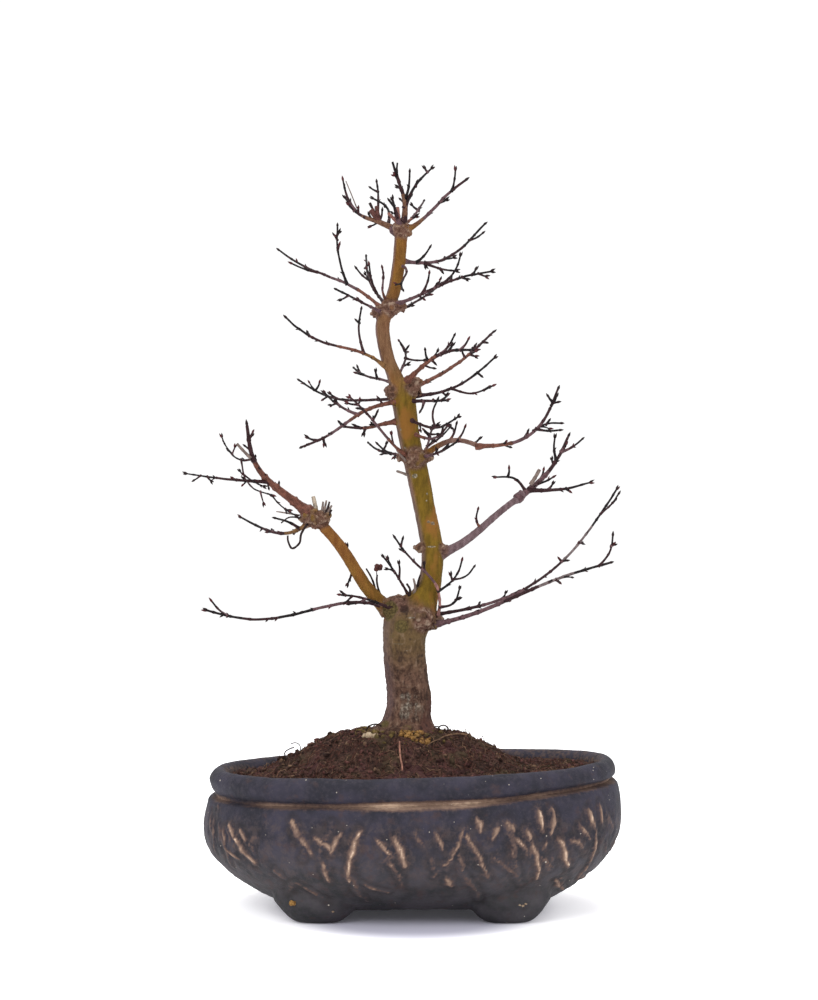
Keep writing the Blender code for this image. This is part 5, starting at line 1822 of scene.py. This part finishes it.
def wall_relief(points):
    """How far each point of the wall is raised, and its masks for wiped clay, with a painted highlight along
    one edge of each stroke, and for the painted shade in the sunk clay round it.
    """
    found = all_strokes()
    tree = searched([sample[0] for sample in found])
    lift, wiped, sunk = np.zeros((3, len(points)))
    for i, (x, y, z) in enumerate(points.tolist()):
        warped = Vector((x, y, z)) + noise.noise_vector((x * 0.16, y * 0.16, z * 0.16)) * STROKE_WARP
        middle, k, far = tree.find(warped)
        _, wide, bright, across = found[k]
        patch = noise.noise((x * 0.3, y * 0.3, z * 0.3))
        grain = noise.noise((x * 0.7, y * 0.7, z * 0.7))
        edge = far - wide * (1.2 + 0.5 * patch) - 0.25 * grain
        top = 1 / (1 + math.exp(max(-30.0, min(30.0, 3.2 * edge))))
        moat = math.exp(-(((edge - 2.0) / 1.5) ** 2)) * (0.75 + 0.5 * patch)
        # a painted highlight along one edge of each stroke, where the clay also stands a little higher
        aside = (warped - middle).dot(across) - 0.35 * wide
        lit = math.exp(-((aside / (0.3 + 0.3 * wide)) ** 2)) * top
        high = STROKE_RAISE * top + STROKE_EDGE * lit
        lift[i] = high * (0.45 + 0.55 * max(0.0, bright)) - STROKE_MOAT * moat
        lift[i] += 0.5 * noise.fractal((x * 0.018, y * 0.018, z * 0.03), 1, 2, 3)
        lift[i] += 0.34 * noise.fractal((x * 0.16, y * 0.16, z * 0.11), 0.8, 2.2, 3)
        face = top * max(0.0, 0.34 + 0.2 * bright + 0.25 * grain)
        line = lit * max(0.0, 0.62 * bright + 0.5 * patch)
        halo = 0.22 * math.exp(-((max(edge, 0) / 2.5) ** 2)) * max(0.2, bright)
        wiped[i] = max(face + line, halo)
        # painted shade in the clay pressed round the stroke
        sunk[i] = moat
    return lift, wiped, sunk


def groove_mask(points):
    """The groove under the rim, wiped brightest in front and at the right end."""
    x = points[:, 0]
    middle = SHOULDER_HEIGHT + 1.5 + wall_lift(x, SHOULDER_HEIGHT + 1.5) + groove_lift(x)
    above = points[:, 2] - middle
    uneven = np.array([noise.noise((px * 0.05, py * 0.05, 7.7)) for px, py, _ in points.tolist()])
    front = np.exp(-(((x - 6) / 34) ** 2))
    line = np.exp(-((above / (np.where(above > 0, 1.4, 1.7) * (1 + 0.35 * front))) ** 2))
    return line * np.clip(0.4 + 0.45 * uneven + 0.55 * front + 0.3 * smoothstep(x, 70, 105), 0, 1.15)


def add_feet(batch):
    """Four rounded feet that run up into the bowl."""
    for side in (-1, 1):
        for way in (-1, 1):
            rings = []
            middle = (side * FOOT_PLACE[0], way * FOOT_PLACE[1])
            for number, rise in enumerate(FOOT_RISES):
                wide = math.sqrt(min(rise, 1)) - 0.25 * max(0, rise - 1)
                half = []
                for flat, more in zip(FOOT_FLAT, FOOT_SPREAD):
                    half.append(flat - FOOT_ROUND + (more + FOOT_ROUND) * wide)
                if number == 0:
                    half = [h / 2 for h in half]
                rings.append(oval(half, FOOT_TOP * rise, FOOT_SIDES, middle).tolist())
            batch.add(shell(rings))


def make_bowl(look):
    """The bowl and the feet as one skin with the strokes in relief."""
    rise = SHOULDER_HEIGHT - BASE_HEIGHT
    heights = [BASE_HEIGHT + rise * (i / BOWL_STEPS) ** 1.2 for i in range(BOWL_STEPS + 1)]
    profile = [(wall_inset(z), z) for z in heights] + [(GROOVE_INSET + 2.5, SHOULDER_HEIGHT + 1.2)]
    batch = Batch()
    batch.add(shell([wall_ring(inset, z, BOWL_SIDES).tolist() for inset, z in profile]))
    add_feet(batch)
    points, normals, faces = remeshed(batch, POT_VOXEL, POT_SMOOTHINGS)
    lift, wiped, sunk = wall_relief(points)
    top = points[:, 2] - wall_lift(points[:, 0], SHOULDER_HEIGHT) - SHOULDER_HEIGHT
    outer = smoothstep(points[:, 2], 1.0, 4.0) * (1 - smoothstep(top, -2.5, 0.5))
    points = raised(points + normals * (lift * outer)[:, None])
    made = place("pot_bowl", points, faces, [look], "pot", ["pot"])
    wiped = np.maximum(STROKE_WIPE * wiped * outer, groove_mask(points))
    paint(made, "wear", (wiped, sunk * outer, 0.0))


def make_rim(look):
    """The rolled rim, from the groove over its top and down the inside, worn brown there."""
    profile = [(GROOVE_INSET + 3, SHOULDER_HEIGHT - 1), (GROOVE_INSET + 1.4, SHOULDER_HEIGHT + 1.2)]
    for degrees in range(-70, 186, 6):
        turn = math.radians(degrees)
        inset = RIM_INSET - RIM_HALF_WIDTH * math.cos(turn)
        profile.append((inset, RIM_MIDDLE + RIM_HALF_HEIGHT * math.sin(turn)))
    profile += [(inner_inset(z), z) for z in (72.0, 66.0)]
    points, faces = shell([wall_ring(inset, z, RIM_SIDES).tolist() for inset, z in profile])
    points = np.array(points)
    centre = wall_ring(RIM_INSET, RIM_MIDDLE, RIM_SIDES)
    for low in range(0, len(profile) * RIM_SIDES, RIM_SIDES):
        ring = points[low : low + RIM_SIDES]
        out = ring - centre
        out /= np.linalg.norm(out, axis=1)[:, None]
        bumps = [
            0.55 * noise.fractal((x * 0.03, y * 0.03, z * 0.05), 1, 2, 3)
            + 0.14 * noise.fractal((x * 0.2, y * 0.2, z * 0.2), 0.8, 2.2, 3)
            for x, y, z in ring.tolist()
        ]
        points[low : low + RIM_SIDES] = ring + out * np.array(bumps)[:, None]
    points = raised(points)
    made = place("pot_rim", points, faces, [look], "pot")
    x, y, z = points.T
    back = 0.65 * smoothstep(z, 79, 84) * smoothstep(y, -20, 50)
    out = np.hypot(x / (POT_LENGTH / 2 - RIM_INSET), y / (POT_DEPTH / 2 - RIM_INSET))
    inside = (1 - smoothstep(out, 0.965, 1.0)) * (0.75 + 0.25 * smoothstep(np.abs(x), 85, 105))
    paint(made, "wear", (groove_mask(points), 0.0, np.maximum(back, inside)))


def make_pot():
    """The bowl with its feet, and the rim, of one clay."""
    look = glaze_look()
    make_bowl(look)
    make_rim(look)


def soil_height(x, y):
    """The mound's surface: flat under the trunk, falling unevenly to the level of the edge, and crumbly."""
    reach = math.hypot(x - MOUND_MIDDLE, y * MOUND_SQUEEZE)
    fall = min(max((reach - MOUND_FLAT) / (MOUND_REACH - MOUND_FLAT), 0), 1)
    edge = SOIL_EDGE + wall_lift(x, SOIL_EDGE)
    slope = edge + (GROUND - GAP - edge) * math.cos(fall * math.pi / 2) ** 2
    fade = min(max((reach - MOUND_FLAT) / LUMP_FADE, 0), 1) * min(1, 4 * (1 - fall))
    lumps = LUMP_HEIGHT * fade * noise.noise((x / LUMP_SIZE, y / LUMP_SIZE, 0))
    clods = 1.5 * noise.fractal((x * 0.14, y * 0.14, 1.7), 0.8, 2.2, 4)
    crumbs = 0.8 * noise.fractal((x * 0.45, y * 0.45, 8.1), 0.6, 2.3, 3)
    return slope + lumps + clods + crumbs


def on_mound(rng, reach_x=104.0, reach_y=63.0):
    """A random place on the soil."""
    turn = rng.uniform(0, 2 * math.pi)
    out = math.sqrt(rng.random())
    return MOUND_MIDDLE * (1 - out) + reach_x * out * math.cos(turn), reach_y * out * math.sin(turn)


def make_soil():
    """The mound, with its crumbs, moss, grit, roots and fibres."""
    edge = wall_ring(inner_inset(SOIL_EDGE) - 1.0, SOIL_EDGE, SOIL_SIDES)
    rings = [(edge - (0, 0, 12)).tolist()]
    for i in range(SOIL_RINGS):
        share = (1 - i / SOIL_RINGS) ** 0.85
        ring = []
        for x, y, _ in edge.tolist():
            px, py = MOUND_MIDDLE * (1 - share) + x * share, y * share
            ring.append((px, py, soil_height(px, py)))
        rings.append(ring)
    points, faces = shell(rings)
    place("soil_mound", points, faces, [soil_look("soil", *MOUND_COLOURS)], "soil", ["soil"])
    make_crumbs()
    make_fibres()


def make_crumbs():
    """Crumbs all over the mound, grit and moss at the trunk's foot, a pebble, and grains on the feet."""
    rng = random.Random(f"crumbs {SEED}")
    names = list(CRUMB_COLOURS)
    looks = [soil_look(name, *colours) for name, colours in CRUMB_COLOURS.items()]
    batch = Batch()

    def add(middle, half, detail, rough, kind):
        batch.add(lump(middle, half, detail, rng, rough), names.index(kind))

    for _ in range(CRUMBS):
        x, y = on_mound(rng)
        size = rng.uniform(*(SMALL_CRUMB if rng.random() < SMALL_SHARE else LARGE_CRUMB))
        mossy = math.hypot(x - MOSS_MIDDLE, y) < MOSS_REACH and rng.random() < MOSS_SHARE
        kind = "moss" if mossy else rng.choice(CRUMB_MIX)
        half = [size * rng.uniform(0.6, 1.4) for _ in range(3)]
        add((x, y, soil_height(x, y) + 0.1 * size), half, 1, 1.0, kind)
    for _ in range(GRIT_LUMPS):
        x, y = (middle + rng.uniform(-1, 1) * half for middle, half in zip(GRIT_MIDDLE, GRIT_HALF))
        size = rng.uniform(0.8, 1.8)
        half = (size, size * 0.8, size * 0.85)
        add((x, y, soil_height(x, y) + 0.5 * size), half, 2, 0.7, "ochre grit")
    for _ in range(MOSS_LUMPS):
        turn = rng.uniform(2.4, 5.6)
        out = rng.uniform(15, 25)
        x, y = MOSS_MIDDLE + 1.15 * out * math.cos(turn), out * math.sin(turn)
        size = rng.uniform(0.7, 1.5)
        add((x, y, soil_height(x, y) + 0.3 * size), (size * 1.2, size, size * 0.8), 2, 1.0, "moss")
    x, y = PEBBLE
    for aside, size in PEBBLE_LUMPS:
        middle = (x + aside, y - 0.3 * aside, soil_height(x + aside, y) + 1.0)
        add(middle, (size, size, size), 2, 0.6, "pale grit")
    for *middle, size, kind in FOOT_GRAINS:
        add(middle, (size, size * 0.7, size * 0.8), 2, 0.5, kind)
    batch.place("soil_crumbs", looks, "soil")


def make_fibres():
    """Fine fibres strewn over the mound, and the roots and stray hairs that the photograph shows."""
    rng = random.Random(f"fibres {SEED}")
    names = list(FIBRE_COLOURS)
    looks = [twig_look(name, *colour_and_rough) for name, colour_and_rough in FIBRE_COLOURS.items()]
    batch = Batch()
    for _ in range(FIBRES):
        x, y = on_mound(rng, *FIBRE_REACH)
        heading = rng.uniform(0, 2 * math.pi)
        length = rng.uniform(*FIBRE_LENGTH)
        rise = rng.uniform(*LOOP_RISE) if rng.random() < LOOPS else rng.uniform(*FLAT_RISE)
        bend = rng.uniform(-1.2, 1.2)
        path = []
        for i in range(FIBRE_STEPS + 1):
            t = i / FIBRE_STEPS
            px = x + length * t * math.cos(heading + t * bend)
            py = y + length * t * math.sin(heading + t * bend)
            path.append(Vector((px, py, soil_height(px, py) - 0.3 + rise * math.sin(math.pi * t))))
        radii = [rng.uniform(*FIBRE_RADIUS)] * len(path)
        batch.add(tube(path, radii, FIBRE_SIDES), names.index(rng.choice(FIBRE_MIX)))
    for name, thick, places in ROOTS:
        path = smooth_path(places, 7)
        batch.add(tube(path, [thick / 2] * len(path), ROOT_SIDES), names.index(name))
    batch.place("soil_fibres", looks, "soil")


def make_floor():
    """A floor with a painted shadow, darker and bluer near the pot, and a painted glow that grows farther
    out.
    """
    mesh = bpy.data.meshes.new("floor")
    corners = [(x * FLOOR_HALF, y * FLOOR_HALF, 0) for x, y in ((-1, -1), (1, -1), (1, 1), (-1, 1))]
    mesh.from_pydata(corners, [], [(0, 1, 2, 3)])
    floor = bpy.data.objects.new("floor", mesh)
    bpy.context.scene.collection.objects.link(floor)
    look = Nodes("pale floor", 0.9, 0.0)
    reach = look.stretched((1 / PAINTED_SHADOW_REACH[0], 1 / PAINTED_SHADOW_REACH[1], 1.0))
    far = look.add("ShaderNodeVectorMath", {0: reach}, operation="LENGTH").outputs["Value"]
    # painted shadow: the floor darker and bluer under the pot
    look.colour(look.mix(look.between(far, *FLOOR_FADE), FLOOR_PAINTED_SHADOW, FLOOR_FAR))
    # painted glow, faint under the pot and stronger farther out, lightening its shadow at the sides
    look.give(look.shader.inputs["Emission Strength"], look.between(far, *FLOOR_FADE, *FLOOR_PAINTED_GLOW))
    look.give(look.shader.inputs["Emission Color"], PAINTED_GLOW_COLOUR)
    mesh.materials.append(look.material)


def make_light():
    """A white sky and three soft lamps."""
    world = bpy.data.worlds.new("studio")
    world.use_nodes = True
    sky = world.node_tree.nodes["Background"]
    sky.inputs["Color"].default_value = (1, 1, 1, 1)
    sky.inputs["Strength"].default_value = WORLD_STRENGTH
    bpy.context.scene.world = world
    for name, spot, size, power in LIGHTS:
        data = bpy.data.lights.new(name, "AREA")
        data.size = size
        data.energy = power
        light = bpy.data.objects.new(name, data)
        light.location = spot
        light.rotation_euler = (Vector(LIGHT_AIM) - Vector(spot)).to_track_quat("-Z", "Y").to_euler()
        bpy.context.scene.collection.objects.link(light)


def make_camera():
    """The camera of the photograph."""
    data = bpy.data.cameras.new("camera")
    data.sensor_fit = "HORIZONTAL"
    data.sensor_width = 36.0
    data.lens = FOCAL_PIXELS / IMAGE_WIDTH * data.sensor_width
    camera = bpy.data.objects.new("camera", data)
    camera.location = Vector(CAMERA_PLACE) * MM
    camera.rotation_euler = (math.pi / 2 + CAMERA_TILT, 0, 0)
    bpy.context.scene.collection.objects.link(camera)
    bpy.context.scene.camera = camera
    bpy.context.scene.view_settings.view_transform = "Standard"


noise.seed_set(SEED)  # without it, noise_vector takes its seed from the clock
make_camera()
make_light()
make_floor()
limb_lines = grow()
make_crown(limb_lines)
make_stubs()
make_bark(limb_lines)
make_pot()
make_soil()
